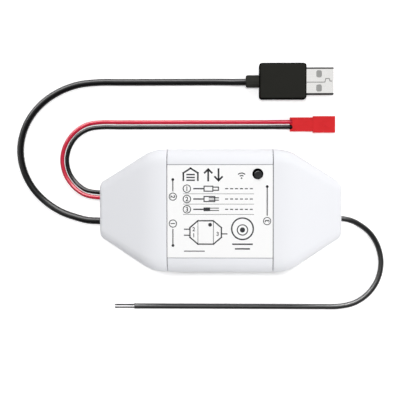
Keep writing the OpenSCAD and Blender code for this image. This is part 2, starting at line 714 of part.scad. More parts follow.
// Moulded body of the USB plug, with its neck
module usb_plug_body() color("black") difference() {
    union() {
        translate(plug_at) soft_block(plug_l, plug_w, plug_h, plug_edge_r);
        translate(neck_at + [neck_l + plug_edge_r, 0, 0]) rotate([0, -90, 0]) rotate_extrude()
            soft_step(neck_d/2, neck_l + plug_edge_r, neck_edge_r);
    }
    translate(usb_at) along_x(-usb_root, cut) rounded_rect(usb_w, usb_h, usb_fold_r);
}

// Folded sheet shell of the USB plug, with windows on both faces
module usb_shell() color("silver") translate(usb_at) difference() {
    along_x(-usb_root, usb_l) difference() {
        rounded_rect(usb_w, usb_h, usb_fold_r);
        rounded_rect(usb_w - 2*usb_sheet, usb_h - 2*usb_sheet, usb_fold_r - usb_sheet);
    }
    for (s = [-1, 1]) translate([usb_l - window_x - window_l, s*window_y - window_w/2, -usb_h])
        cube([window_l, window_w, 2*usb_h]);
}

// Insulator on one side of the shell, with the contacts on its open face
module usb_insulator() color("white") translate(usb_at)
    translate([-usb_root, -insulator_w/2, insulator_z]) cube([usb_root + usb_l - 0.6, insulator_w, tongue_h]);

module usb_contacts() color("gold") translate(usb_at) for (k = [-1.5:1.5])
    translate([1, k*contact_pitch - contact_w/2, insulator_z - contact_t])
        cube([usb_l - 1 - (abs(k) > 1 ? power_contact_x : data_contact_x), contact_w, contact_t]);

// Red two-way plug: rear with two wire seats open to its face, open front with a latch ramp
module sensor_plug() color("red") difference() {
    union() {
        translate(rear_at) along_x(0, rear_l + cut) rounded_rect(rear_w, rear_h, 0.4);
        translate(front_at) along_x(0, front_l) rounded_rect(front_w, front_h, 0.4);
        translate(front_at + [0, 0, front_h/2 - cut]) linear_extrude(cut + latch_h)
            polygon([[latch_tip, 0], [front_l - latch_end, latch_w/2], [front_l - latch_end, -latch_w/2]]);
    }
    for (s = [-1, 1]) translate(rear_at + [0, s*pin_pitch/2, 0]) {
        rod_x([-cut, 0, 0], seat_r, cut + wire_seat);
        translate([-cut, -seat_r, 0]) cube([cut + wire_seat - seat_r, 2*seat_r, rear_h]);
        translate([wire_seat - seat_r, 0, 0]) cylinder(r = seat_r, h = rear_h);
    }
    translate(front_at + [front_l - front_depth, -front_w/2 + front_wall, -front_h/2 + front_wall])
        cube([front_depth + cut, front_w - 2*front_wall, front_h - 2*front_wall]);
    for (s = [-1, 1]) rod_x(rear_at + [rear_l - 2, s*pin_pitch/2, 0], pin_d/2 + 0.05, front_l);
}

module sensor_plug_pins() color("gold") for (s = [-1, 1])
    rod_x(rear_at + [rear_l - 2, s*pin_pitch/2, 0], pin_d/2, front_l + 1);

base_shell();
centre_cover();
left_end_cover();
right_end_cover();
housing_screws();
face_label();
button_cap();
switch_body();
switch_plate();
switch_plunger();
circuit_board();
board_screws();
wireless_board();
wireless_shield();
relay();
relay_pins();
voltage_regulator();
capacitors();
optocoupler();
flyback_diode();
status_led();
chip_resistors();
wire_headers();
power_grip();
sensor_grip();
signal_grip();
power_leads();
sensor_leads();
signal_leads();
power_cord();
usb_plug_body();
usb_shell();
usb_insulator();
usb_contacts();
sensor_wire_red();
sensor_wire_black();
sensor_plug();
sensor_plug_pins();
signal_cable();
signal_conductors();
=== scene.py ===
"""Garage door controller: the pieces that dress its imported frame, and the stage it stands on.

Lengths are in metres unless a comment says millimetres. The origin is at the middle of the housing's
flat back, +Z points out of the face, and +X runs along the housing towards the signal cable.
"""

import math

import bmesh
import bpy
from mathutils import Matrix, Vector


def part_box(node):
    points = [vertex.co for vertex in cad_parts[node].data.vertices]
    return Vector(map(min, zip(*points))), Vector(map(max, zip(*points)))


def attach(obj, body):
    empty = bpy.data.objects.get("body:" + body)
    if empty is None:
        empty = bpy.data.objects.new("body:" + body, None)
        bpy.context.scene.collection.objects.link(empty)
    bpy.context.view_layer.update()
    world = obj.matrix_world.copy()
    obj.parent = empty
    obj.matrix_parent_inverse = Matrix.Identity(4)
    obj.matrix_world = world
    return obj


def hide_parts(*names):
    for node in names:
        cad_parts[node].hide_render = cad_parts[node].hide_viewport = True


bl_info = {
    "name": "Garage door controller",
    "version": (1, 0, 0),
    "blender": (4, 5, 0),
    "location": "3D View > Sidebar > Controller",
    "description": "Dresses the packed garage door controller and sets its stage",
    "category": "Object",
}

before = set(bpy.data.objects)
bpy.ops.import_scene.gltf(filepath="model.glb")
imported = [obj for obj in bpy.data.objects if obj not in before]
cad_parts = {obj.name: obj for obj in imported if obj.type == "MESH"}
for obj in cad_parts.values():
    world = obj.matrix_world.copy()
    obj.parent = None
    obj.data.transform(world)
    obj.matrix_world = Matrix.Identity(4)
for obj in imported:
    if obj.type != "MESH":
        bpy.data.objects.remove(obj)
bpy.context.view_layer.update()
MM = 0.001


# Settings

def linear(hex_colour):
    """An sRGB hex colour as the linear colour that a shader takes."""
    parts = [int(hex_colour[i:i + 2], 16) / 255 for i in (1, 3, 5)]
    return [c / 12.92 if c <= 0.04045 else ((c + 0.055) / 1.055) ** 2.4 for c in parts] + [1.0]


def length(title, text, millimetres):
    """A length that a user may change."""
    return bpy.props.FloatProperty(
        name=title, description=text, default=millimetres * MM, unit="LENGTH", precision=5)


def finish_colour(title, text, hex_colour):
    """A colour that a user may change."""
    return bpy.props.FloatVectorProperty(
        name=title, description=text, default=linear(hex_colour), subtype="COLOR", size=4, min=0, max=1)


def size_of(node):
    """Size of a node of the frame, in millimetres."""
    low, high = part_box(node)
    return (high - low) / MM


COVER_LOW, COVER_HIGH = (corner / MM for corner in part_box("centre_cover"))
BODY_LOW, BODY_HIGH = (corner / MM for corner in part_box("usb_plug_body"))
SHELL_LOW, SHELL_HIGH = (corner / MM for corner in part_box("usb_shell"))


class HousingSettings(bpy.types.PropertyGroup):
    """Sizes and colours of the moulded housing and its screws"""
    long: length("Length", "Length between the flat ends", size_of("base_shell").x)
    wide: length("Width", "Width of the housing", size_of("base_shell").y)
    high: length("Height", "Height from the back to the face", COVER_HIGH.z)
    split: length("Split", "Height of the split between the base and the covers", COVER_LOW.z)
    wall: length("Wall", "Thickness of the moulded walls", 2.0)
    centre: length("Centre length", "Length of the centre cover from seam to seam", size_of("face_label").x)
    seam: length("Seam", "Width of the open line at each seam", 0.3)
    margin: length("Margin", "Distance from a seam to the start of the tapers", 1.3)
    end_wide: length("End width", "Width of the flat ends", 23.6)
    end_high: length("End height", "Height of the flat ends", 16.5)
    side_bend: length("Side bend", "Radius where the sides start to taper", 18.0)
    face_bend: length("Face bend", "Radius where the face starts to slope", 30.0)
    edge: length("Long edge", "Radius of the face's long edges along the centre", 6.4)
    end_edge: length("End edge", "Radius of the face's long edges at the flat ends", 4.0)
    corner: length("Corner", "Radius of the corners round the flat ends", 1.2)
    soft: length("Soft edge", "Radius of the edges along the seams", 0.15)
    foot: length("Foot", "Bevel of the covers' outer edge along the split", 0.12)
    tongue: length("Tongue", "Reach of the centre cover's tongue to each side of a seam", 2.5)
    tongue_thick: length("Tongue thickness", "Thickness of those tongues", 1.0)
    clear: length("Clearance", "Gap between the tongues and the covers", 0.15)
    hole_clear: length("Hole clearance", "Gap round a lead where it leaves the housing", 0.1)
    screw_head: length("Screw head", "Diameter of the screws' heads", 4.4)
    screw_seat: length("Screw seat", "Depth of the heads' seats below the back", 2.6)
    screw_thread: length("Screw thread", "Diameter of the screws' threads", 2.2)
    plastic: finish_colour("Plastic", "Colour of the moulded housing", "#F2F3F7")
    screw: finish_colour("Screws", "Colour of the plated screws in the back", "#C6C7C9")


class LabelSettings(bpy.types.PropertyGroup):
    """Film and print of the face label"""
    film: finish_colour("Film", "Colour of the label's film", "#FEFEFE")
    ink: finish_colour("Ink", "Colour of the print", "#3E3F42")
    lift: length("Ink height", "Thickness of the printed ink", 0.015)
    gap: length("Groove width", "Width of the groove along each long edge of the label", 0.3)
    groove: length("Groove depth", "Depth of those grooves below the label", 0.7)


class ButtonSettings(bpy.types.PropertyGroup):
    """Sizes and colours of the push button"""
    hole: length("Hole", "Diameter of the hole in the cover", 4.7)
    rim: length("Rim", "Diameter of the button's rim", 4.3)
    rim_rise: length("Rim rise", "Height of the rim above the label", 0.3)
    rim_edge: length("Rim edge", "Radius of the rim's edge", 0.2)
    top: length("Top", "Diameter of the button's raised middle", 3.5)
    rise: length("Rise", "Height of the raised middle above the label", 1.0)
    top_edge: length("Top edge", "Radius of the raised middle's edge", 0.35)
    flange: length("Flange", "Diameter of the flange that keeps the button in", 6.5)
    flange_thick: length("Flange thickness", "Thickness of that flange", 1.0)
    flange_deep: length("Flange depth", "Depth of that flange below the label", 4.8)
    stem: length("Stem", "Diameter of the stem over the switch", 3.2)
    plastic: finish_colour("Plastic", "Colour of the button", "#101114")
    # The rim's colour is painted shade, deep black round the raised middle
    rim_shade_colour: finish_colour("Rim", "Colour of the button's rim", "#060607")


class LeadSettings(bpy.types.PropertyGroup):
    """Diameters and colours of the leads"""
    power: length("Power cord", "Diameter of the power cord", 3.0)
    sensor: length("Sensor wire", "Diameter of each sensor wire", 1.85)
    signal: length("Signal cable", "Diameter of the signal cable", 2.4)
    strip: length("Conductor", "Diameter of each stripped conductor", 0.6)
    pitch: length("Conductor pitch", "Distance between the stripped conductors", 1.15)
    twist: length("Twist", "Length of one turn of a conductor's strands", 7.0)
    start: length("Conductor start", "Length of the strands inside the jacket's end", 0.6)
    power_at: length("Power exit", "Where the power cord leaves the left end", -5.2)
    red_at: length("Red exit", "Where the red sensor wire leaves the left end", 5.15)
    black_at: length("Black exit", "Where the black sensor wire leaves the left end", 7.45)
    signal_at: length("Signal exit", "Where the signal cable leaves the right end", -4.1)
    black: finish_colour("Black jacket", "Colour of the black jackets", "#0B0B0C")
    red: finish_colour("Red jacket", "Colour of the red wire's jacket", "#C9213D")
    # The conductors' colour is painted shade, nearly black
    copper: finish_colour("Conductor", "Colour of the stripped conductors", "#0E0D0D")


class PlugSettings(bpy.types.PropertyGroup):
    """Sizes and colours of the power plug and the sensor plug"""
    body_long: length("Body length", "Length of the power plug's moulded body", 20.8)
    body_wide: length("Body width", "Width of the power plug's moulded body", BODY_HIGH.y - BODY_LOW.y)
    body_high: length("Body height", "Thickness of the power plug's moulded body", BODY_HIGH.z - BODY_LOW.z)
    body_edge: length("Body edge", "Radius of the moulded body's edges", 1.3)
    neck: length("Neck", "Diameter of the neck between the cord and the body", 5.5)
    neck_long: length("Neck length", "Length of that neck", 5.9)
    neck_edge: length("Neck edge", "Radius of the neck's end", 0.8)
    flute: length("Flute", "Depth of the flutes along the neck", 0.16)
    shell_wide: length("Shell width", "Width of the metal shell", SHELL_HIGH.y - SHELL_LOW.y)
    shell_high: length("Shell height", "Thickness of the metal shell", SHELL_HIGH.z - SHELL_LOW.z)
    shell_long: length("Shell length", "Length of the shell outside the body", SHELL_HIGH.x - BODY_HIGH.x)
    shell_deep: length("Shell depth", "Length of the shell inside the body", BODY_HIGH.x - SHELL_LOW.x)
    shell_fold: length("Shell fold", "Outer radius of the shell's folds", 0.6)
    sheet: length("Sheet", "Thickness of the shell's sheet", 0.3)
    pocket: length("Pocket", "How much larger the body's pocket is than the shell", 0.06)
    window_long: length("Window length", "Size of the shell's windows along the plug", 2.4)
    window_wide: length("Window width", "Size of the shell's windows across the plug", 3.1)
    window_corner: length("Window corner", "Radius of the windows' corners", 0.8)
    window_back: length("Window place", "Distance from the shell's mouth to its windows", 5.2)
    window_apart: length("Window spacing", "Distance between the middles of the windows", 6.2)
    red_edge: length("Red plug edge", "Width of the sensor plug's soft edges", 0.1)
    black: finish_colour("Overmould", "Colour of the power plug's moulded body", "#2C2C29")
    steel: finish_colour("Shell", "Colour of the plated shell", "#E6E5E3")
    # The folds' colour is painted shade along the shell's round edges
    fold: finish_colour("Folds", "Colour of the shell along its darkened folds", "#2E2D2C")
    red: finish_colour("Red plug", "Colour of the sensor plug", "#DC3135")


class StageSettings(bpy.types.PropertyGroup):
    """Floor and light of the stage"""
    floor: finish_colour("Floor", "Colour of the floor", "#FCFCFC")
    glow: bpy.props.FloatProperty(
        name="Floor glow", description="White that the floor shows to the camera besides its light",
        default=0.3, min=0, max=1, subtype="FACTOR")
    ambient: bpy.props.FloatProperty(
        name="Ambient", description="Soft light from all round", default=0.1, min=0)


SETTINGS = {
    "controller_housing": HousingSettings,
    "controller_label": LabelSettings,
    "controller_button": ButtonSettings,
    "controller_leads": LeadSettings,
    "controller_plugs": PlugSettings,
    "controller_stage": StageSettings,
}

# Routes of the leads in millimetres, as in the part's source: x from the end face, y from the exit,
# and a lift that is 0 on the ground, 1 at the height of the exit and -1 at the height of the plug
POWER_ROUTE = [
    (0, 0, 1), (-1.5, 0, 1), (-6, 0.2, 0.95), (-10.8, 1.2, 0.8), (-19.2, 4, 0.42), (-26.7, 8.7, 0.1),
    (-32.4, 14.9, 0), (-36, 22.3, 0), (-37.4, 30.3, 0), (-36.3, 38.4, 0), (-32.8, 46, 0),
    (-27.1, 52.5, 0), (-19.7, 57.4, 0), (-11, 60.5, 0), (-1.5, 61.5, 0), (7, 61.5, 0), (16, 61.5, 0),
    (26, 61.5, 0), (36, 61.5, 0), (44, 61.5, 0), (50, 61.5, -0.12), (55, 61.4, -0.45),
    (59, 61.3, -0.85), (61.5, 61.3, -1), (63.6, 61.3, -1)]
RED_ROUTE = [
    (0, 0, 1), (-1.5, 0, 1), (-5, 0.4, 0.92), (-8.5, 1.4, 0.72), (-13.5, 4.7, 0.3), (-17.4, 10.2, 0.05),
    (-18.7, 16.7, 0), (-17.2, 23.2, 0), (-13.4, 28.6, 0), (-8, 32.2, 0), (-1.5, 33.4, 0), (8, 33.4, 0),
    (22, 33.4, 0), (38, 33.4, 0), (54, 33.4, 0), (68, 33.4, 0), (74, 33.4, -0.2), (78, 33.4, -0.7),
    (81, 33.4, -1), (84.4, 33.4, -1)]
BLACK_ROUTE = [
    (0, 0, 1), (-1.5, 0, 1), (-4.5, 0.3, 0.92), (-7.6, 1.1, 0.72), (-12, 4, 0.3), (-15.4, 8.7, 0.05),
    (-16.5, 14.3, 0), (-15.2, 20, 0), (-12, 24.7, 0), (-7.1, 27.8, 0), (-1.5, 28.8, 0), (8, 28.8, 0),
    (22, 28.8, 0), (38, 28.8, 0), (54, 28.8, 0), (68, 28.8, 0), (74, 28.8, -0.2), (78, 28.8, -0.7),
    (81, 28.8, -1), (84.4, 28.8, -1)]
SIGNAL_ROUTE = [
    (0, 0, 1), (1, 0, 1), (4.5, -0.7, 0.95), (7.9, -2.2, 0.8), (13.6, -6.5, 0.4), (17.6, -12.8, 0.08),
    (19.1, -20.3, 0), (17.6, -27.8, 0), (13.5, -34, 0), (7.7, -38.1, 0), (1, -39.8, 0), (-8, -40, 0),
    (-22, -40, 0), (-38, -40, 0), (-54, -40, 0), (-70, -40, 0), (-82, -40, 0), (-91.4, -40, 0)]

# Where the power plug's shell leaves its body, and the height of the wires in the red plug
BODY_MIDDLE = (BODY_LOW + BODY_HIGH) / 2
SHELL_AT = Vector((BODY_HIGH.x, BODY_MIDDLE.y, BODY_MIDDLE.z)) * MM
RED_PLUG_HIGH = 2.35 * MM
# Middle of the button, and how far its raised middle lies off it
BUTTON_AT = sum(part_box("button_cap"), Vector()) / 2
TOP_SHIFT = Vector((0.2, -0.4, 0)) * MM
# Hollow of the button's top: share of its radius and depth in millimetres
TOP_HOLLOW = ((0.8, 0.01), (0.5, 0.04), (0, 0.06))
# Joint of the shell's fold with its hook, from the start of the shell, and half its width, in millimetres
FOLD_JOINT = [(-1.3, -0.53), (8.05, -0.53), (8.45, 1.05), (9.95, 1.05), (10.3, -0.05), (12.7, -0.05)]
FOLD_JOINT_HALF = 0.19
# Radius of the power plug's edges at its flat ends, and the flutes of its neck, which stop before the body
END_RADIUS = 0.15 * MM
NECK_FLUTES = 12
FLUTE_STOP = 0.5 * MM
# Strands round the middle one of a stripped conductor, and the step between the lengths they are cut to
OUTER_STRANDS = 6
STRAND_STEP = 0.05 * MM
# Pitch of the screws' threads, and the largest turn of a tight screw in radians
SCREW_PITCH = 0.7 * MM
SCREW_TURN = 1.5
# Strip of an end cover's flat face beside its round edge, which keeps the edge's shading off the face
FACE_STRIP = 0.4 * MM
# Smallest radius inside the covers, and the smallest step in their meshes
INNER_EDGE = 0.4 * MM
SLIVER = 0.01 * MM
# Width, depth and length of a die's line on a jacket, length of a metal's marks over their spacing, and
# size of the clouds in plating
DIE_LINE = (0.3 * MM, 0.3 * MM, 9 * MM)
MARK_STRETCH = 40
PLATING_DRIFT = 2.5 * MM
# Depths below the plug's face between which its texture ends and the painted shade of its round sides
# begins
SIDE_SHADE_START = (0.4 * MM, 0.2 * MM)
# Distances inside the shell's sides between which the painted shade of its folds starts
FOLD_SHADE_START = (0.8 * MM, 0.53 * MM)

# Soft lamps aimed at the origin: place, width and height of the panel, and watts
LAMPS = {
    "top_light": ((0, 0.115, 1.05), (0.16, 0.16), 5.95),
    "key_softbox": ((0.97, -0.56, 0.31), (1.0, 0.5), 3.0),
    "high_key": ((0.8, 0, 0.75), (0.6, 0.4), 1.85),
    "front_fill": ((0, -1.0, 0.36), (0.8, 0.5), 1.8),
    "back_fill": ((0, 1.04, 0.12), (0.8, 0.2), 3.0),
    "high_fill": ((0, 0.7, 0.75), (0.8, 0.4), 2.0),
}
# Cards that only gloss shows: the same, then the collection of pieces that show the card
CARDS = {
    "back_card": ((-0.4, 0.86, 0.45), (1.5, 0.75), 58.0, "glossy_pieces"),
    "side_card": ((-0.93, 0.14, 0.45), (0.8, 0.75), 7.0, "left_loops"),
    "upper_card": ((0, 0.5, 0.95), (1.0, 0.4), 2.4, "glossy_pieces"),
}
CARD_TARGET = (0, 0.02, 0)
# Strip of floor that keeps the housing's shadow: its middle, half its size, and the shares of that size
# between which the floor's white comes back
SHADOW_AT = (3.4 * MM, -24 * MM)
SHADOW_HALF = (34 * MM, 9 * MM)
SHADOW_FADE = (0.6, 1.0)
# Distance from the origin over which the floor turns white, and how white it gets
FAR_FLOOR = (0.12, 0.5)
FAR_WHITE = 0.7
# Half the floor's size, and how far it lies below the part
FLOOR_HALF = 3.0
FLOOR_DROP = 0.02 * MM
# What gloss shows of the studio: the way to it, the cosines to that way between which it brightens, and
# its brightness at both
PANEL = ((-0.1, 0.3, 0.95), 0.7, 0.95, 0.0, 1.45)
WALL = ((-0.45, 0.85, 0.27), -0.1, 0.7, 0.16, 0.6)
# Way from which the soft light is stronger; the longer it is, the less even the light
DOME_LEAN = (0, 0.6, 0)
# The photo's camera: place in millimetres, turn in degrees, and lens and sensor in millimetres
CAMERA_AT = (6.54, 27.22, 492.88)
CAMERA_TURN = (-2.735, 1.839, -0.057)
CAMERA_LENS = 98.94
CAMERA_SENSOR = 36.0

FINISHES = {}


# Nodes

def add_node(tree, kind, settings=None, inputs=None):
    """Adds a node with its settings. An input that is a socket is linked, any other is set."""
    node = tree.nodes.new(kind)
    for key, value in (settings or {}).items():
        setattr(node, key, value)
    for key, value in (inputs or {}).items():
        if isinstance(value, bpy.types.NodeSocket):
            tree.links.new(value, node.inputs[key])
        else:
            node.inputs[key].default_value = value
    return node


def noise(tree, place, size, detail, roughness=0.5):
    """Noise with a grain of that size."""
    inputs = {"Vector": place, "Scale": 1 / size, "Detail": detail, "Roughness": roughness}
    return add_node(tree, "ShaderNodeTexNoise", None, inputs).outputs["Fac"]


def stretched(tree, place, sizes):
    """A place measured by another size along each axis."""
    inputs = {"Vector": place, "Scale": [1 / size for size in sizes]}
    return add_node(tree, "ShaderNodeMapping", None, inputs).outputs["Vector"]


def ranged(tree, value, low, high, start=0.0, end=1.0):
    """A value between low and high, moved to the range from start to end."""
    inputs = {"Value": value, "From Min": low, "From Max": high, "To Min": start, "To Max": end}
    return add_node(tree, "ShaderNodeMapRange", None, inputs).outputs["Result"]


def blended(tree, amount, first, second):
    """A colour between two others."""
    inputs = {0: amount, 6: first, 7: second}
    return add_node(tree, "ShaderNodeMix", {"data_type": "RGBA"}, inputs).outputs[2]


def mixed(tree, amount, first, second):
    """A value between two others."""
    inputs = {0: amount, 2: first, 3: second}
    return add_node(tree, "ShaderNodeMix", {"data_type": "FLOAT"}, inputs).outputs[0]


def math_node(tree, operation, *values):
    """Result of a sum on values."""
    return add_node(tree, "ShaderNodeMath", {"operation": operation}, dict(enumerate(values))).outputs[0]


def vector_node(tree, operation, *values):
    """Outputs of a sum on vectors."""
    inputs = dict(enumerate(values))
    return add_node(tree, "ShaderNodeVectorMath", {"operation": operation}, inputs).outputs


def parts_of(tree, vector):
    """The parts of a vector along each axis."""
    return add_node(tree, "ShaderNodeSeparateXYZ", None, {"Vector": vector}).outputs


def object_place(tree):
    """Place on the object."""
    return add_node(tree, "ShaderNodeTexCoord").outputs["Object"]


def start_group(name, inputs):
    """A Geometry Nodes tree that takes geometry and named inputs of given kinds, and its inputs."""
    tree = bpy.data.node_groups.new(name, "GeometryNodeTree")
    for title, kind in {"Geometry": "Geometry", **inputs}.items():
        tree.interface.new_socket(title, in_out="INPUT", socket_type=f"NodeSocket{kind}")
    tree.interface.new_socket("Geometry", in_out="OUTPUT", socket_type="NodeSocketGeometry")
    return tree, add_node(tree, "NodeGroupInput").outputs


def end_group(tree, geometry, finish):
    """Ends a tree with geometry in a finish."""
    dressed = add_node(tree, "GeometryNodeSetMaterial", None, {"Geometry": geometry, "Material": finish})
    add_node(tree, "NodeGroupOutput", None, {"Geometry": dressed.outputs["Geometry"]})


# Materials

def start_finish(name):
    """Empty tree of a new material."""
    made = bpy.data.materials.new(name)
    made.use_nodes = True
    made.node_tree.nodes.clear()
    FINISHES[name] = made
    return made.node_tree


def end_finish(tree, shader):
    """Ends a material's tree with its shader."""
    add_node(tree, "ShaderNodeOutputMaterial", None, {"Surface": shader.outputs[0]})


def skin(tree, relief, strength, depth, looks):
    """Surface with a relief of that depth in millimetres, as the end of a material's tree."""
    bump = add_node(tree, "ShaderNodeBump", None,
                    {"Height": relief, "Strength": strength, "Distance": depth * MM})
    end_finish(tree, add_node(tree, "ShaderNodeBsdfPrincipled", None,
                              {"Normal": bump.outputs["Normal"], **looks}))


def toned(base, value):
    """A darker or lighter version of a colour."""
    return [min(c * value, 1.0) for c in base[:3]] + [1.0]


def faced(tree, place, colour, rim):
    """A colour kept to a textured face. Its sides are painted near-black as shade along its round edges,
    and what stands behind it takes a paler colour."""
    # The smooth sides' colour is painted shade along the face's round edges
    high, start, smooth, behind = rim
    along = parts_of(tree, place)
    face = ranged(tree, along["Z"], *(high - deep for deep in SIDE_SHADE_START))
    back = math_node(tree, "LESS_THAN", along["X"], start)
    return blended(tree, back, blended(tree, face, smooth, colour), behind)


def moulded_plastic(name, base, gloss, grain, depth, drift=20.0, vary=0.96, ior=1.53, shine=0.5,
                    rim=None):
    """Moulded plastic. The mould's spark texture gives the grain, of that size and depth in millimetres,
    and the melt a faint drift of colour. A rim gives the height of a textured face, the place where its
    block starts, the painted shade of its sides and the colour of what stands behind it."""
    tree = start_finish(name)
    place = object_place(tree)
    spark = noise(tree, place, grain * MM, 3.0, 0.6)
    melt = noise(tree, place, drift * MM, 2.0)
    colour = blended(tree, melt, toned(base, vary), list(base))
    if rim:
        colour = faced(tree, place, colour, rim)
    matt = ranged(tree, spark, 0.0, 1.0, gloss - 0.06, gloss + 0.06)
    skin(tree, spark, 1.0, depth,
         {"Base Color": colour, "Roughness": matt, "IOR": ior, "Specular IOR Level": shine})


def extruded_jacket(name, base, gloss, shine=0.18):
    """Extruded PVC. The die leaves faint lines along the lead, drawn about three times as coarse
    as they are so that they show, on a skin with a satin gloss."""
    tree = start_finish(name)
    place = add_node(tree, "ShaderNodeAttribute", {"attribute_name": "lead_line"}).outputs["Vector"]
    lines = noise(tree, stretched(tree, place, DIE_LINE), 1.0, 3.0)
    colour = blended(tree, lines, toned(base, 0.86), toned(base, 1.1))
    matt = ranged(tree, lines, 0.0, 1.0, gloss - 0.05, gloss + 0.07)
    skin(tree, lines, 0.35, 0.012,
         {"Base Color": colour, "Roughness": matt, "IOR": 1.53, "Specular IOR Level": shine})


def worked_metal(name, base, gloss, line, depth, along=(1, 0, 0), folds=None, bare=1.0, shine=0.5):
    """Rolled, drawn or turned metal. Fine marks, spaced by line in millimetres, run along one axis and
    spread the gloss across it; plating gives a slight drift of tone. Folds are given as the middle between
    them, half their distance and the colour painted along them as shade. Metal that isn't bare has no
    metallic gloss."""
    tree = start_finish(name)
    place = object_place(tree)
    sizes = [(MARK_STRETCH if a else 1) * line * MM for a in along]
    marks = noise(tree, stretched(tree, place, sizes), 1.0, 4.0)
    plating = noise(tree, place, PLATING_DRIFT, 3.0)
    colour = blended(tree, plating, toned(base, 0.95), list(base))
    matt = ranged(tree, marks, 0.0, 1.0, gloss - 0.08, gloss + 0.1)
    if folds:
        middle, half, fold_shade = folds
        # Painted shade darkens the colour near the folds
        off = math_node(tree, "SUBTRACT", parts_of(tree, place)["Y"], middle)
        off = math_node(tree, "ABSOLUTE", off)
        near = ranged(tree, off, *(half - deep for deep in FOLD_SHADE_START))
        colour = blended(tree, near, colour, list(fold_shade))
        matt = mixed(tree, near, matt, 0.75)
    skin(tree, marks, 0.5, depth,
         {"Base Color": colour, "Roughness": matt, "Metallic": bare, "Specular IOR Level": shine})


def make_finishes(scene):
    """Makes every finish of the part once."""
    if FINISHES:
        return
    housing, label, button = scene.controller_housing, scene.controller_label, scene.controller_button
    leads, plugs = scene.controller_leads, scene.controller_plugs
    # ABS from a spark-textured mould: matt white with a very fine grain
    moulded_plastic("white_moulded_abs", housing.plastic, 0.56, 0.35, 0.004, vary=0.98, shine=0.1)
    # The same ABS on the tongues under the seams, painted dark grey as the shade in the seams
    moulded_plastic("seam_shade_abs", linear("#4C4D52"), 0.7, 0.35, 0.004, vary=0.8, shine=0.05)
    # The same ABS in the label's grooves, painted pale grey as the shade in them
    moulded_plastic("groove_shade_abs", linear("#B2B3B7"), 0.7, 0.35, 0.004, vary=0.8, shine=0.05)
    # Polyester label film: smooth, satin, slightly brighter than the plastic
    moulded_plastic("satin_polyester_film", label.film, 0.42, 0.9, 0.0012, vary=0.995, shine=0.2)
    # Screen-printed ink: flat grey with a faint mesh grain
    moulded_plastic("screen_printed_ink", label.ink, 0.62, 0.18, 0.002, drift=4.0, vary=0.9, shine=0.15)
    # Smoke-black ABS of the button: satin, so its edge takes a thin highlight
    moulded_plastic("smoke_black_abs", button.plastic, 0.2, 0.2, 0.002, vary=0.9, shine=0.32)
    # The button's rim, with a rough mould face, painted deep black as the shade round its raised middle; no
    # gloss
    moulded_plastic("shade_black_rim_abs", button.rim_shade_colour, 0.7, 0.2, 0.004, vary=0.9, shine=0.0)
    # Soft PVC of the black cords: black with a narrow, dim streak of light
    extruded_jacket("black_extruded_pvc", leads.black, 0.27)
    # The red wire's harder PVC: clear red with a brighter streak
    extruded_jacket("red_extruded_pvc", leads.red, 0.27, shine=0.3)
    # Polished PVC of the signal cable: black with a broad, bright streak
    extruded_jacket("glossy_extruded_pvc", leads.black, 0.32, shine=0.9)
    # Soft PVC moulded over the plug: matt black with an eroded grain. Its round sides are painted
    # near-black as shade, and its neck is paler
    moulded_plastic("black_overmoulded_pvc", plugs.black, 0.62, 0.3, 0.008, vary=0.88, shine=0.0,
                    rim=(SHELL_AT.z + plugs.body_high / 2, SHELL_AT.x - plugs.body_long,
                         linear("#0B0B0A"), toned(plugs.black, 1.45)))
    # Nylon of the red plug: satin, with slight flow marks
    moulded_plastic("red_moulded_nylon", plugs.red, 0.45, 0.25, 0.003, drift=5.0, vary=0.9, shine=0.06)
    # Nickel-plated steel sheet: bright, with rolling marks along the plug, and painted shade darkening its
    # folds
    worked_metal("nickel_plated_steel", plugs.steel, 0.24, 0.12, 0.002,
                 folds=(SHELL_AT.y, plugs.shell_wide / 2, plugs.fold))
    # Zinc-plated screws: duller, turned marks
    worked_metal("zinc_plated_steel", housing.screw, 0.36, 0.1, 0.002, along=(0, 0, 1))
    # Drawn and tinned copper strands, painted nearly black as their shade, no gloss
    worked_metal("shade_black_copper_strand", leads.copper, 0.65, 0.06, 0.001, bare=0.0, shine=0.05)
    make_inside_finishes()


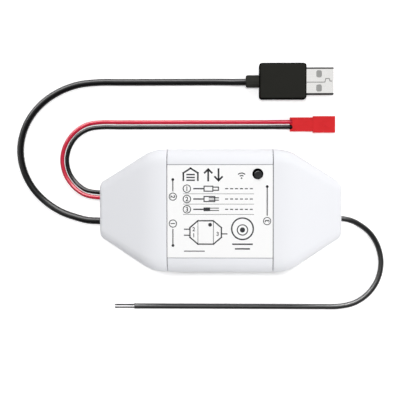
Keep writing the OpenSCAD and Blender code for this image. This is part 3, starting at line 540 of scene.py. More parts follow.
def make_inside_finishes():
    """Makes the finishes of what the closed housing holds, and of the contacts."""
    # Glass-filled polyester under the contacts: milky, satin
    moulded_plastic("white_moulded_pbt", linear("#A0A09E"), 0.45, 0.3, 0.002)
    # Contacts with a thin gold flash: warm, bright metal
    worked_metal("gold_plated_brass", linear("#E0BB67"), 0.24, 0.1, 0.001)
    # Solder mask over woven glass: glossy and faintly mottled, green on the board and blue on the module
    moulded_plastic("green_solder_mask", linear("#1C5A36"), 0.3, 0.5, 0.004, drift=3.0, vary=0.75)
    moulded_plastic("blue_solder_mask", linear("#1B2F5E"), 0.3, 0.5, 0.004, drift=3.0, vary=0.75)
    # Tinned sheet of the shield: soft, milky metal
    worked_metal("tinned_sheet", linear("#CFCFCB"), 0.38, 0.2, 0.002)
    # Polyester case of the relay: even satin blue
    moulded_plastic("blue_relay_pbt", linear("#2E5F96"), 0.4, 0.3, 0.003)
    # Drawn aluminium of the capacitors: pale, with marks up the can
    worked_metal("drawn_aluminium_can", linear("#D4D5D7"), 0.33, 0.15, 0.002, along=(0, 0, 1))
    # Moulded epoxy of the chips: dull black with a sandy grain
    moulded_plastic("black_moulded_epoxy", linear("#1B1B1C"), 0.58, 0.2, 0.006, drift=2.0, vary=0.85)
    # Cast epoxy of the lamp: smooth, glossy, yellowish
    moulded_plastic("clear_cast_epoxy", linear("#D8D9C4"), 0.2, 0.4, 0.001, ior=1.56)
    # Nylon of the headers in its own colour: ivory, satin
    moulded_plastic("natural_nylon", linear("#E6E2D4"), 0.45, 0.3, 0.003)
    # Moulded PVC of the grips: black, dull
    moulded_plastic("black_grip_pvc", linear("#161616"), 0.5, 0.3, 0.005)
    # PVC of the inner leads: satin, red and black
    moulded_plastic("red_lead_pvc", linear("#B8213A"), 0.4, 0.3, 0.003)
    moulded_plastic("black_lead_pvc", linear("#161617"), 0.4, 0.3, 0.003)


# Objects

def placed(name, data):
    """A new object in the scene."""
    made = bpy.data.objects.new(name, data)
    bpy.context.scene.collection.objects.link(made)
    return made


def piece(name, mesh, body, slot, *nodes):
    """A finished piece at the origin that rides on a body and stands for nodes of the frame."""
    made = placed(name, mesh)
    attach(made, body)
    if nodes:
        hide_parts(*nodes)
    return made


def dress(finish, *nodes):
    """Gives nodes of the frame a finish."""
    for name in nodes:
        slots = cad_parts[name].data.materials
        slots.clear()
        slots.append(FINISHES[finish])


def receivers(name):
    """Collection of the pieces that show a card."""
    return bpy.data.collections.get(name) or bpy.data.collections.new(name)


def finished(mesh, finishes, sharp=35.0):
    """A mesh with its finishes, shaded smooth up to an angle in degrees between its faces."""
    mesh.polygons.foreach_set("use_smooth", [True] * len(mesh.polygons))
    mesh.set_sharp_from_angle(angle=math.radians(sharp))
    for finish in finishes:
        mesh.materials.append(FINISHES[finish])
    return mesh


def mesh_from(bm, name):
    """A mesh from a bmesh, which it frees."""
    mesh = bpy.data.meshes.new(name)
    bm.to_mesh(mesh)
    bm.free()
    return mesh


def applied(made):
    """Mesh of an object with its modifiers applied."""
    seen = bpy.context.evaluated_depsgraph_get()
    return bpy.data.meshes.new_from_object(made.evaluated_get(seen))


def keep_flat(made):
    """Keeps the shading of large flat faces even, so that only their round edges bend it."""
    made.modifiers.new("even_faces", "WEIGHTED_NORMAL").keep_sharp = True


def merged_copy(node, flat=0.2):
    """A bmesh copy of a frame node with its triangles joined into faces, up to an angle in degrees."""
    bm = bmesh.new()
    bm.from_mesh(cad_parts[node].data)
    bmesh.ops.remove_doubles(bm, verts=bm.verts, dist=1e-6)
    bmesh.ops.dissolve_limit(bm, angle_limit=math.radians(flat), verts=bm.verts, edges=bm.edges)
    return bm


# Shapes

def add_strip(bm, first, second, closed=False):
    """Quads between two rows of points."""
    count = len(first) if closed else len(first) - 1
    for k in range(count):
        j = (k + 1) % len(first)
        bm.faces.new((first[k], first[j], second[j], second[k]))


def add_rings(bm, rings, closed=False):
    """Vertices for rings of points, joined by quads."""
    rows = [[bm.verts.new(p) for p in ring] for ring in rings]
    for first, second in zip(rows, rows[1:]):
        add_strip(bm, first, second, closed)
    return rows


def add_turned(bm, profile, steps, turn):
    """A turned solid from a profile of (radius, height) that starts and ends on the axis."""
    angles = [2 * math.pi * k / steps for k in range(steps)]
    rows = []
    for radius, height in profile:
        ring = [(radius * math.cos(a), radius * math.sin(a), height) for a in angles]
        rows.append([bm.verts.new(turn @ Vector(p)) for p in (ring if radius else ring[:1])])
    for first, second in zip(rows, rows[1:]):
        for k in range(steps):
            j = (k + 1) % steps
            corners = ([first[k], first[j]] if len(first) > 1 else first) + (
                [second[j], second[k]] if len(second) > 1 else second)
            bm.faces.new(corners)


def outward(bm):
    """Turns every face of closed shells outwards."""
    bmesh.ops.recalc_face_normals(bm, faces=bm.faces)


def solid(name, bm):
    """A plain object from a bmesh, used while a piece is cut."""
    outward(bm)
    return placed(name, mesh_from(bm, name))


def prism(name, rings, at):
    """A plain object through rings of points, closed at both ends and moved to a place. Points of a
    ring that meet are merged."""
    bm = bmesh.new()
    rows = add_rings(bm, [[p + at for p in ring] for ring in rings], closed=True)
    bm.faces.new(rows[0])
    bm.faces.new(rows[-1])
    bmesh.ops.remove_doubles(bm, verts=bm.verts, dist=1e-7)
    return solid(name, bm)


def carve(body, tools, how="DIFFERENCE"):
    """The mesh of a body after tools are cut from it or joined to it; removes them all."""
    for tool in tools:
        step = body.modifiers.new(tool.name, "BOOLEAN")
        step.operation = how
        step.solver = "EXACT"
        step.object = tool
    mesh = applied(body)
    for done in [body, *tools]:
        old = done.data
        bpy.data.objects.remove(done)
        bpy.data.meshes.remove(old)
    return mesh


def quarter(steps):
    """Angles of a quarter turn."""
    return [math.pi / 2 * k / steps for k in range(steps + 1)]


def fillet(radius, steps):
    """Points of a round edge as their two distances from the lines that meet at its corner."""
    return [(radius * (1 - math.cos(a)), radius * (1 - math.sin(a))) for a in quarter(steps)]


def rounded_ring(x, wide, high, radius, steps=8):
    """Points round a rectangle with round corners, across X."""
    ring = []
    for q, (sy, sz) in enumerate(((1, 1), (-1, 1), (-1, -1), (1, -1))):
        for k in range(steps + 1):
            a = math.pi / 2 * (q + k / steps)
            ring.append(Vector((x, sy * (wide / 2 - radius) + radius * math.cos(a),
                                sz * (high / 2 - radius) + radius * math.sin(a))))
    return ring


def slot_ring(x, low, high, radius, steps=20):
    """Points round a slot with round ends between two places across, across X."""
    ring = []
    for middle, start in ((high, -90), (low, 90)):
        for k in range(steps + 1):
            a = math.radians(start + 180 * k / steps)
            ring.append(Vector((x, middle + radius * math.cos(a), radius * math.sin(a))))
    return ring


def widened(line, half):
    """Outline of a line that reaches half its width to each side, with mitred corners."""
    points = [Vector(p) for p in line]
    ways = [(b - a).normalized() for a, b in zip(points, points[1:])]
    reach = []
    for before, after in zip([ways[0]] + ways, ways + [ways[-1]]):
        middle = (before + after).normalized()
        reach.append(Vector((-middle.y, middle.x)) * half / max(middle.dot(after), 0.5))
    return [p + r for p, r in zip(points, reach)] + [p - r for p, r in zip(points, reach)][::-1]


def grown_mesh(points, edges, tree, inputs):
    """Mesh that a Geometry Nodes tree makes from points and edges, as plain geometry."""
    start = bpy.data.meshes.new("grown_from")
    start.from_pydata(points, edges, [])
    carrier = placed("grown_from", start)
    step = carrier.modifiers.new("grow", "NODES")
    step.node_group = tree
    for socket in tree.interface.items_tree:
        if socket.in_out == "INPUT" and socket.name in inputs:
            step[socket.identifier] = inputs[socket.name]
    mesh = applied(carrier)
    carrier.modifiers.remove(step)
    bpy.data.objects.remove(carrier)
    bpy.data.meshes.remove(start)
    return mesh


# Housing

def taper_angle(run, drop, radius):
    """Angle of a straight taper after a bend of that radius."""
    return math.asin(radius / math.hypot(run, radius - drop)) - math.atan2(radius - drop, run)


def housing_tapers(h):
    """Start and run of the tapers, and their angles in plan and in elevation."""
    start = h.centre / 2 + h.margin
    run = h.long / 2 - start
    side = taper_angle(run, (h.wide - h.end_wide) / 2, h.side_bend)
    face = taper_angle(run, h.high - h.end_high, h.face_bend)
    return start, run, side, face


def taper_drop(beyond, radius, angle):
    """How far a taper has dropped at a distance beyond its start."""
    if beyond <= 0:
        return 0.0
    if beyond < radius * math.sin(angle):
        return radius - math.sqrt(radius * radius - beyond * beyond)
    return radius * (1 - math.cos(angle)) + (beyond - radius * math.sin(angle)) * math.tan(angle)


def arch_ring(h, x, half, top, radius, foot, crown):
    """Points of an arch across the housing, from foot to foot. The crown goes on from the round edge
    towards the middle of the face."""
    right = [(half - foot, h.split), (half, h.split + max(foot, 5 * SLIVER))]
    right += [(half - y, top - z) for y, z in fillet(radius, 14)]
    right += crown
    across = [(-y, z) for y, z in right] + right[::-1]
    return [Vector((x, y, z)) for y, z in across]


def cover_ring(h, t, inset, side, foot):
    """Points across an end cover at distance t from the middle."""
    start, run, side_angle, face_angle = housing_tapers(h)
    half = h.wide / 2 - inset - taper_drop(t - start, h.side_bend - inset, side_angle)
    top = h.high - inset - taper_drop(t - start, h.face_bend - inset, face_angle)
    edge = h.edge + (h.end_edge - h.edge) * max(0.0, t - start) / run
    radius = max(edge - inset, INNER_EDGE)
    return arch_ring(h, side * t, half, top, radius, foot, [(half - radius - FACE_STRIP, top)])


def cover_stations(h):
    """Stations of an end cover: distance and inset outside, then distance and inset inside."""
    start, _, side_angle, face_angle = housing_tapers(h)
    seam = h.centre / 2 + h.seam
    bend = max(h.side_bend * math.sin(side_angle), h.face_bend * math.sin(face_angle))
    inner = max(h.corner - h.wall, INNER_EDGE)
    last = h.long / 2
    bend_steps, slope_steps = 20, 4
    before_bend, before_corner = 0.3 * MM, 0.6 * MM
    rows = [(seam + x, inset) for x, inset in fillet(h.soft, 4)]
    rows += [(start - before_bend, 0.0)]
    rows += [(start + bend * k / bend_steps, 0.0) for k in range(bend_steps + 1)]
    slope = last - h.corner - before_corner - start - bend
    rows += [(start + bend + slope * k / slope_steps, 0.0) for k in range(1, slope_steps + 1)]
    stations = [(t, inset, t, 0.0) for t, inset in rows]
    for (outset, x), (inset, inner_x) in zip(fillet(h.corner, 8), fillet(inner, 8)):
        stations.append((last - x, outset, last - h.wall - inner_x, inset))
    return stations


def end_cover(h, side):
    """Shell of an end cover as a bmesh: outer and inner faces, rims and flat end."""
    bm = bmesh.new()
    stations = cover_stations(h)
    outer = add_rings(bm, [cover_ring(h, s[0], s[1], side, h.foot) for s in stations])
    inner = add_rings(bm, [cover_ring(h, s[2], h.wall + s[3], side, 0.0) for s in stations])
    add_strip(bm, outer[0], inner[0])
    for end in (0, -1):
        add_strip(bm, [ring[end] for ring in outer], [ring[end] for ring in inner])
    bm.faces.new(outer[-1])
    bm.faces.new(inner[-1])
    bm.faces.new((outer[-1][0], outer[-1][-1], inner[-1][-1], inner[-1][0]))
    return bm


def centre_ring(h, x, inset, recess, foot=0.0, groove=0.0, gap=0.3 * MM):
    """Points across the centre cover, with the label's recess and the groove along its edge."""
    half = h.wide / 2 - inset
    radius = h.edge - inset
    flat = half - radius
    low = recess - groove
    crown = [(flat - SLIVER, low), (flat - gap, low), (flat - gap - SLIVER, recess)]
    return arch_ring(h, x, half, h.high - inset, radius, foot, crown)


def add_sleeve(bm, outside, inside):
    """Closed arch between outer and inner rings."""
    outer, inner = add_rings(bm, outside), add_rings(bm, inside)
    for end in (0, -1):
        add_strip(bm, outer[end], inner[end])
        add_strip(bm, [ring[end] for ring in outer], [ring[end] for ring in inner])


def centre_cover(h, label):
    """Centre cover as a bmesh: arch with the label's recess, and a tongue under each seam."""
    bm = bmesh.new()
    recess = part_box("face_label")[0].z
    half = h.centre / 2
    ends = fillet(h.soft, 4)
    rows = [(x - half, inset) for x, inset in ends] + [(half - x, inset) for x, inset in ends[::-1]]
    add_sleeve(bm, [centre_ring(h, x, inset, recess, h.foot, label.groove, label.gap) for x, inset in rows],
               [centre_ring(h, x, h.wall, h.high - h.wall) for x, inset in rows])
    arch = len(bm.faces)
    upper = h.wall + h.clear
    lower = upper + h.tongue_thick
    for side in (-1, 1):
        spans = [side * (half - h.tongue), side * (half + h.tongue)]
        add_sleeve(bm, *([centre_ring(h, x, inset, h.high - inset) for x in spans]
                         for inset in (upper, lower)))
    # The tongues show through the seams and carry their painted shade
    for tongue in list(bm.faces)[arch:]:
        tongue.material_index = 1
    # The floors of the label's grooves carry their painted shade
    for face in list(bm.faces)[:arch]:
        if max(abs(v.co.z - recess + label.groove) for v in face.verts) < SLIVER:
            face.material_index = 2
    return bm


class CONTROLLER_OT_covers(bpy.types.Operator):
    """Makes the two tapered end covers and the centre cover of the housing"""
    bl_idname = "controller.covers"
    bl_label = "Covers"

    def execute(self, context):
        make_finishes(context.scene)
        h = context.scene.controller_housing
        self.ends(h, context.scene.controller_leads)
        radius = context.scene.controller_button.hole / 2
        turn = Matrix.Translation((BUTTON_AT.x, BUTTON_AT.y, h.high - 2 * h.wall))
        bm = bmesh.new()
        add_turned(bm, [(0, 0), (radius, 0), (radius, 3 * h.wall), (0, 3 * h.wall)], 64, turn)
        hole = solid("button_hole", bm)
        centre = solid("centre", centre_cover(h, context.scene.controller_label))
        for finish in ("white_moulded_abs", "seam_shade_abs", "groove_shade_abs"):
            centre.data.materials.append(FINISHES[finish])
        mesh = finished(carve(centre, [hole]), [])
        piece("centre_moulding", mesh, "housing", "white_abs", "centre_cover")
        return {"FINISHED"}

    def ends(self, h, leads):
        """End covers, with the holes that the leads leave by."""
        power = (leads.power_at, leads.power_at, leads.power)
        sensor = (leads.red_at, leads.black_at, leads.sensor)
        signal = (leads.signal_at, leads.signal_at, leads.signal)
        holes = {-1: [power, sensor], 1: [signal]}
        for side, name in ((-1, "left_end"), (1, "right_end")):
            at = Vector((side * (h.long / 2 - 3 * h.wall), 0, h.split))
            tools = []
            for low, high, thick in holes[side]:
                rings = [slot_ring(x, low, high, thick / 2 + h.hole_clear) for x in (0, side * 4 * h.wall)]
                tools.append(prism("lead_hole", rings, at))
            mesh = finished(carve(solid(name, end_cover(h, side)), tools), ["white_moulded_abs"])
            piece(f"{name}_moulding", mesh, "housing", "white_abs", f"{name}_cover")


class CONTROLLER_OT_base(bpy.types.Operator):
    """Makes the base tray of the housing, smooth round its back and corners"""
    bl_idname = "controller.base"
    bl_label = "Base"

    def execute(self, context):
        make_finishes(context.scene)
        mesh = finished(mesh_from(merged_copy("base_shell"), "base_tray"), ["white_moulded_abs"], 24.0)
        keep_flat(piece("base_tray", mesh, "housing", "white_abs", "base_shell"))
        return {"FINISHED"}


# Screws

def screw_mesh(head, high, shank, long):
    """Cross-head screw whose head stands below the origin and whose shank points up."""
    rise = 0.35 * high
    root, middle, crest = 0.4 * shank, 0.45 * shank, 0.5 * shank
    slot_long, slot_wide, slot_taper = 0.56 * head, 0.13 * head, 0.55
    dome = [(head / 2 * math.sin(a), -high + rise * (1 - math.cos(a))) for a in quarter(6)]
    thread = []
    for k in range(int(long / SCREW_PITCH)):
        thread += [(root, (k + 0.5) * SCREW_PITCH), (crest, (k + 1) * SCREW_PITCH)]
    bm = bmesh.new()
    add_turned(bm, dome + [(head / 2, 0.0), (middle, 0.0)] + thread + [(0.0, long)], 40, Matrix())
    blank = solid("screw_blank", bm)
    arms = []
    for k in range(2):
        bm = bmesh.new()
        across = bmesh.ops.create_cube(bm, size=1.0)["verts"]
        bmesh.ops.scale(bm, vec=(slot_long, slot_wide, high), verts=across)
        bmesh.ops.translate(bm, vec=(0, 0, -high), verts=across)
        for v in across:
            if v.co.z > -high:
                v.co.x *= slot_taper
        turn = Matrix.Rotation(math.pi / 2 * k, 3, "Z")
        bmesh.ops.rotate(bm, cent=(0, 0, 0), matrix=turn, verts=across)
        arms.append(solid(f"screw_slot_{k}", bm))
    return finished(carve(blank, arms), [], 30.0)


def placing_tree():
    """Geometry Nodes that set one screw at each point and give it its finish."""
    tree, given = start_group("screw_places", {"Screw": "Object", "Turn": "Float", "Finish": "Material"})
    screw = add_node(tree, "GeometryNodeObjectInfo", None, {"Object": given["Screw"]})
    spin = add_node(tree, "FunctionNodeRandomValue", {"data_type": "FLOAT"},
                    {2: 0.0, 3: given["Turn"], "Seed": 4})
    turn = add_node(tree, "ShaderNodeCombineXYZ", None, {"Z": spin.outputs[1]})
    copies = add_node(tree, "GeometryNodeInstanceOnPoints", None,
                      {"Points": given["Geometry"], "Instance": screw.outputs["Geometry"],
                       "Rotation": turn.outputs["Vector"]})
    real = add_node(tree, "GeometryNodeRealizeInstances", None, {"Geometry": copies.outputs["Instances"]})
    end_group(tree, real.outputs["Geometry"], given["Finish"])
    return tree


class CONTROLLER_OT_screws(bpy.types.Operator):
    """Sets the four cross-head screws that hold the end covers"""
    bl_idname = "controller.screws"
    bl_label = "Screws"

    def execute(self, context):
        make_finishes(context.scene)
        h = context.scene.controller_housing
        low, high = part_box("housing_screws")
        head, seat = h.screw_head, h.screw_seat
        x, y = high.x - head / 2, high.y - head / 2
        places = [(sx * x, sy * y, seat) for sx in (-1, 1) for sy in (-1, 1)]
        master = placed("screw_master", screw_mesh(head, seat - low.z, h.screw_thread, high.z - seat))
        mesh = grown_mesh(places, [], placing_tree(),
                          {"Screw": master, "Turn": SCREW_TURN, "Finish": FINISHES["zinc_plated_steel"]})
        bpy.data.objects.remove(master)
        piece("cross_head_screws", finished(mesh, [], 30.0), "housing", "screw_steel", "housing_screws")
        return {"FINISHED"}


# Label print, in millimetres on the face

def add_bar(bm, x0, y0, x1, y1):
    """Flat bar between two corners."""
    bm.faces.new([bm.verts.new((x * MM, y * MM, 0)) for x, y in ((x0, y0), (x1, y0), (x1, y1), (x0, y1))])


def add_rule(bm, x0, x1, y, wide):
    """Level rule between two places along the label."""
    add_bar(bm, x0, y - wide / 2, x1, y + wide / 2)


def add_line(bm, points, wide):
    """Line of one width through points."""
    for first, second in zip(points, points[1:]):
        a, b = Vector(first), Vector(second)
        way = (b - a).normalized() * wide / 2
        side = Vector((-way.y, way.x))
        corners = [a - way - side, b + way - side, b + way + side, a - way + side]
        bm.faces.new([bm.verts.new((p.x * MM, p.y * MM, 0)) for p in corners])


def add_arc(bm, x, y, radius, wide, start=0.0, end=360.0, steps=40):
    """Ring, or an arc between two angles in degrees."""
    rows = []
    for edge in (radius - wide / 2, radius + wide / 2):
        angles = [math.radians(start + (end - start) * k / steps) for k in range(steps + 1)]
        rows.append([bm.verts.new(((x + edge * math.cos(a)) * MM, (y + edge * math.sin(a)) * MM, 0))
                     for a in angles])
    add_strip(bm, rows[0], rows[1])


def add_dot(bm, x, y, radius, steps=40):
    """Filled dot, as a ring without a hole."""
    add_arc(bm, x, y, radius / 2, radius, steps=steps)


def add_frame(bm, x0, y0, x1, y1, wide=0.45):
    """Outline of a rectangle."""
    add_bar(bm, x0, y0, x1, y0 + wide)
    add_bar(bm, x0, y1 - wide, x1, y1)
    add_bar(bm, x0, y0 + wide, x0 + wide, y1 - wide)
    add_bar(bm, x1 - wide, y0 + wide, x1, y1 - wide)


def add_numeral(bm, text, x, y, high, turn=0.0):
    """Numeral centred on a point."""
    data = bpy.data.curves.new("numeral", "FONT")
    data.body = text
    figure_share, weight = 0.7, 0.03
    data.size = high / figure_share
    data.offset = weight * high
    data.align_x = "CENTER"
    data.align_y = "CENTER"
    writer = placed("numeral", data)
    mesh = applied(writer)
    middle = sum((Vector(c) for c in writer.bound_box), Vector()) / 8
    place = Matrix.Translation((x * MM, y * MM, 0)) @ Matrix.Rotation(math.radians(turn), 4, "Z")
    mesh.transform(place @ Matrix.Scale(MM, 4) @ Matrix.Translation(-middle))
    bm.from_mesh(mesh)
    bpy.data.objects.remove(writer)
    bpy.data.curves.remove(data)
    bpy.data.meshes.remove(mesh)


def print_door(bm):
    """House with a slatted door, and arrows for its two ways."""
    add_line(bm, [(-15.6, 13.3), (-15.6, 16.4), (-12.5, 18.4), (-9.4, 16.4), (-9.4, 13.3)], 0.7)
    for y in (13.3, 14.5, 15.7):
        add_rule(bm, -14.3, -10.7, y, 0.6)
    middle, pen = 15.6, 0.75
    for x, way in ((-5.0, 1), (-0.6, -1)):
        barb, tip = middle + 0.9 * way, middle + 2.4 * way
        add_line(bm, [(x, middle - 2.4 * way), (x, middle + 2.2 * way)], pen)
        add_line(bm, [(x - 1.5, barb), (x, tip), (x + 1.5, barb)], pen)


def print_waves(bm):
    """Waves and a dot beside the button."""
    x, y = 9.2, 14.2
    for radius in (1.1, 2.15):
        add_arc(bm, x, y, radius, 0.45, 46, 134, 16)
    add_dot(bm, x, y, 0.34, steps=20)


def print_rows(bm):
    """A row for each lead: its numeral, its end and a dashed run."""
    rows = {"1": 9.7, "2": 5.3, "3": 0.9}
    lead_end, lead_run = -7.0, 2.2
    for text, y in rows.items():
        add_arc(bm, -14.1, y, 1.6, 0.38)
        add_numeral(bm, text, -14.1, y, 1.9)
        add_rule(bm, -11.4, lead_end, y, 0.56)
        add_rule(bm, -15.7, 14.5, y - 2.19, 0.18)
        for k in range(6):
            start = lead_run + 2.1 * k
            add_rule(bm, start, start + 1.3, y, 0.44)
    add_frame(bm, lead_end, 8.4, -2.8, 11.0)
    add_frame(bm, -3.25, 8.8, -0.4, 10.6)
    add_frame(bm, lead_end, 4.0, -2.0, 6.6)
    for y in (4.8, 5.8):
        add_rule(bm, -4.8, -0.4, y, 0.44)
    add_rule(bm, lead_end, -4.2, rows["3"], 1.6)
    for y in (0.4, 1.4):
        add_rule(bm, -4.2, -0.4, y, 0.36)


def print_plan(bm):
    """Plan of the housing with its leads, and a rule under it."""
    left, right, seam_left, seam_right = -12.8, 0.6, -9.4, -2.8
    top, bottom, shoulder, hip = -4.0, -14.0, -6.9, -11.1
    add_line(bm, [(seam_left, top), (seam_right, top), (right, shoulder), (right, hip),
                  (seam_right, bottom), (seam_left, bottom), (left, hip), (left, shoulder),
                  (seam_left, top)], 0.55)
    for x in (seam_left, seam_right):
        add_bar(bm, x - 0.13, bottom, x + 0.13, top)
    add_dot(bm, -4.2, -5.7, 0.8)
    for text, x, y, way in (("1", left, -10.2, -1), ("2", left, -7.6, -1), ("3", right, -9.6, 1)):
        far = x + way * 2.6
        add_rule(bm, min(x, far), max(x, far), y, 0.48)
        add_numeral(bm, text, x - way * 1.6, y, 1.7)
    add_rule(bm, -15.4, -6.5, -17.0, 0.4)


def print_press(bm):
    """Ring with a pressed button, and two rules under it."""
    x, press = 9.6, -7.9
    add_arc(bm, x, -7.4, 4.6, 0.6, steps=64)
    add_dot(bm, x, press, 1.1)
    add_arc(bm, x, press, 2.2, 0.45)
    for y, half in ((-14.0, 4.4), (-16.0, 3.2)):
        add_rule(bm, x - half, x + half, y, 0.6)


def print_exits(bm):
    """Ringed numerals where the leads leave, each with a line to a dot."""
    for text, x, y, run in (("1", -20.1, -5.2, -14.6), ("2", -20.1, 6.3, 13.6), ("3", 20.1, -4.1, 10.6)):
        add_arc(bm, x, y, 1.55, 0.36)
        add_numeral(bm, text, x, y, 1.9, math.copysign(90, x))
        add_line(bm, [(x, y + math.copysign(2.5, run - y)), (x, run)], 0.45)
        add_dot(bm, x, run, 0.6, steps=20)


class CONTROLLER_OT_label(bpy.types.Operator):
    """Dresses the face label and prints it"""
    bl_idname = "controller.label"
    bl_label = "Label"

    def execute(self, context):
        make_finishes(context.scene)
        dress("satin_polyester_film", "face_label")
        bm = bmesh.new()
        for motif in (print_door, print_waves, print_rows, print_plan, print_press, print_exits):
            motif(bm)
        outward(bm)
        for face in bm.faces:
            if face.normal.z < 0:
                face.normal_flip()
        raised = bmesh.ops.extrude_face_region(bm, geom=bm.faces[:], use_keep_orig=True)["geom"]
        lifted = [g for g in raised if isinstance(g, bmesh.types.BMVert)]
        bmesh.ops.translate(bm, vec=(0, 0, context.scene.controller_label.lift), verts=lifted)
        bmesh.ops.translate(bm, vec=(0, 0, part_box("face_label")[1].z), verts=bm.verts)
        outward(bm)
        mesh = finished(mesh_from(bm, "label_print"), ["screen_printed_ink"])
        piece("label_print", mesh, "housing", "label_film")
        return {"FINISHED"}


# Button

class CONTROLLER_OT_button(bpy.types.Operator):
    """Makes the stepped push button, which moves with its body"""
    bl_idname = "controller.button"
    bl_label = "Button"

    def execute(self, context):
        make_finishes(context.scene)
        b = context.scene.controller_button
        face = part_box("face_label")[1].z
        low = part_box("button_cap")[0].z
        ledge = face - b.flange_deep
        under = ledge - b.flange_thick
        stem, flange, rim, top = b.stem / 2, b.flange / 2, b.rim / 2, b.top / 2
        rim_z, top_z = face + b.rim_rise, face + b.rise
        lower = [(0, low), (stem, low), (stem, under), (flange, under), (flange, ledge), (rim, ledge)]
        lower += [(rim - x, rim_z - z) for x, z in fillet(b.rim_edge, 6)]
        lower += [(0, rim_z)]
        upper = [(0, face), (top, face)]
        upper += [(top - x, top_z - z) for x, z in fillet(b.top_edge, 8)]
        upper += [(top * share, top_z - deep * MM) for share, deep in TOP_HOLLOW]
        at = Vector((BUTTON_AT.x, BUTTON_AT.y, 0))
        bm = bmesh.new()
        add_turned(bm, lower, 64, Matrix.Translation(at))
        turned = len(bm.faces)
        add_turned(bm, upper, 64, Matrix.Translation(at + TOP_SHIFT))
        outward(bm)
        # The rim is painted deep black as shade round the raised middle
        for side in list(bm.faces)[:turned]:
            side.material_index = 1
        mesh = finished(mesh_from(bm, "push_button"), ["smoke_black_abs", "shade_black_rim_abs"])
        made = piece("push_button", mesh, "button", "smoke_plastic", "button_cap")
        receivers("glossy_pieces").objects.link(made)
        return {"FINISHED"}


# Leads

def captured(tree, geometry, kind, value):
    """Geometry that carries a value of each point along, and that value."""
    node = add_node(tree, "GeometryNodeCaptureAttribute")
    node.capture_items.new(kind, "Mark")
    tree.links.new(geometry, node.inputs["Geometry"])
    tree.links.new(value, node.inputs["Mark"])
    return node.outputs["Geometry"], node.outputs["Mark"]


def jacket_tree():
    """Geometry Nodes that sweep a round jacket along a line and keep each point's place on it."""
    tree, given = start_group("lead_jacket", {"Radius": "Float", "Sides": "Int", "Finish": "Material"})
    line = add_node(tree, "GeometryNodeMeshToCurve", None, {"Mesh": given["Geometry"]})
    run = add_node(tree, "GeometryNodeSplineParameter").outputs["Length"]
    line, run = captured(tree, line.outputs["Curve"], "FLOAT", run)
    ring = add_node(tree, "GeometryNodeCurvePrimitiveCircle", {"mode": "RADIUS"},
                    {"Resolution": given["Sides"], "Radius": given["Radius"]})
    spot = add_node(tree, "GeometryNodeInputPosition").outputs["Position"]
    ring, spot = captured(tree, ring.outputs["Curve"], "VECTOR", spot)
    tube = add_node(tree, "GeometryNodeCurveToMesh", None,
                    {"Curve": line, "Profile Curve": ring, "Fill Caps": True})
    across = parts_of(tree, spot)
    place = add_node(tree, "ShaderNodeCombineXYZ", None, {"X": across["X"], "Y": across["Y"], "Z": run})
    kept = add_node(tree, "GeometryNodeStoreNamedAttribute",
                    {"data_type": "FLOAT_VECTOR", "domain": "POINT"},
                    {"Geometry": tube.outputs["Mesh"], "Name": "lead_line",
                     "Value": place.outputs["Vector"]})
    end_group(tree, kept.outputs["Geometry"], given["Finish"])
    return tree


def smooth_path(points, steps=6):
    """Points on a smooth curve through given points."""
    knots = [2 * points[0] - points[1], *points, 2 * points[-1] - points[-2]]
    path = []
    for a, b, c, d in zip(knots, knots[1:], knots[2:], knots[3:]):
        times = [0.0]
        for first, second in ((a, b), (b, c), (c, d)):
            times.append(times[-1] + max((second - first).length, 1e-6) ** 0.5)
        for k in range(steps):
            t = times[1] + (times[2] - times[1]) * k / steps
            low = [p + (q - p) * ((t - times[i]) / (times[i + 1] - times[i]))
                   for i, (p, q) in enumerate(((a, b), (b, c), (c, d)))]
            mid = [low[i] + (low[i + 1] - low[i]) * ((t - times[i]) / (times[i + 2] - times[i]))
                   for i in range(2)]
            path.append(mid[0] + (mid[1] - mid[0]) * ((t - times[1]) / (times[2] - times[1])))
    return path + [knots[-2]]


def swept(paths, radius, sides, tree, finish):
    """Mesh of round jackets swept along paths."""
    points, edges = [], []
    for path in paths:
        edges += [(len(points) + k, len(points) + k + 1) for k in range(len(path) - 1)]
        points += path
    inputs = {"Radius": radius, "Sides": sides, "Finish": FINISHES[finish]}
    return finished(grown_mesh(points, edges, tree, inputs), [], 50.0)


def laid_route(route, at, radius, end_high):
    """A route's points in metres, from the point where the lead leaves the housing."""
    points = []
    for x, y, lift in route:
        high = radius + (lift * (at.z - radius) if lift >= 0 else -lift * (end_high - radius))
        points.append(Vector((at.x + x * MM, at.y + y * MM, high)))
    return points


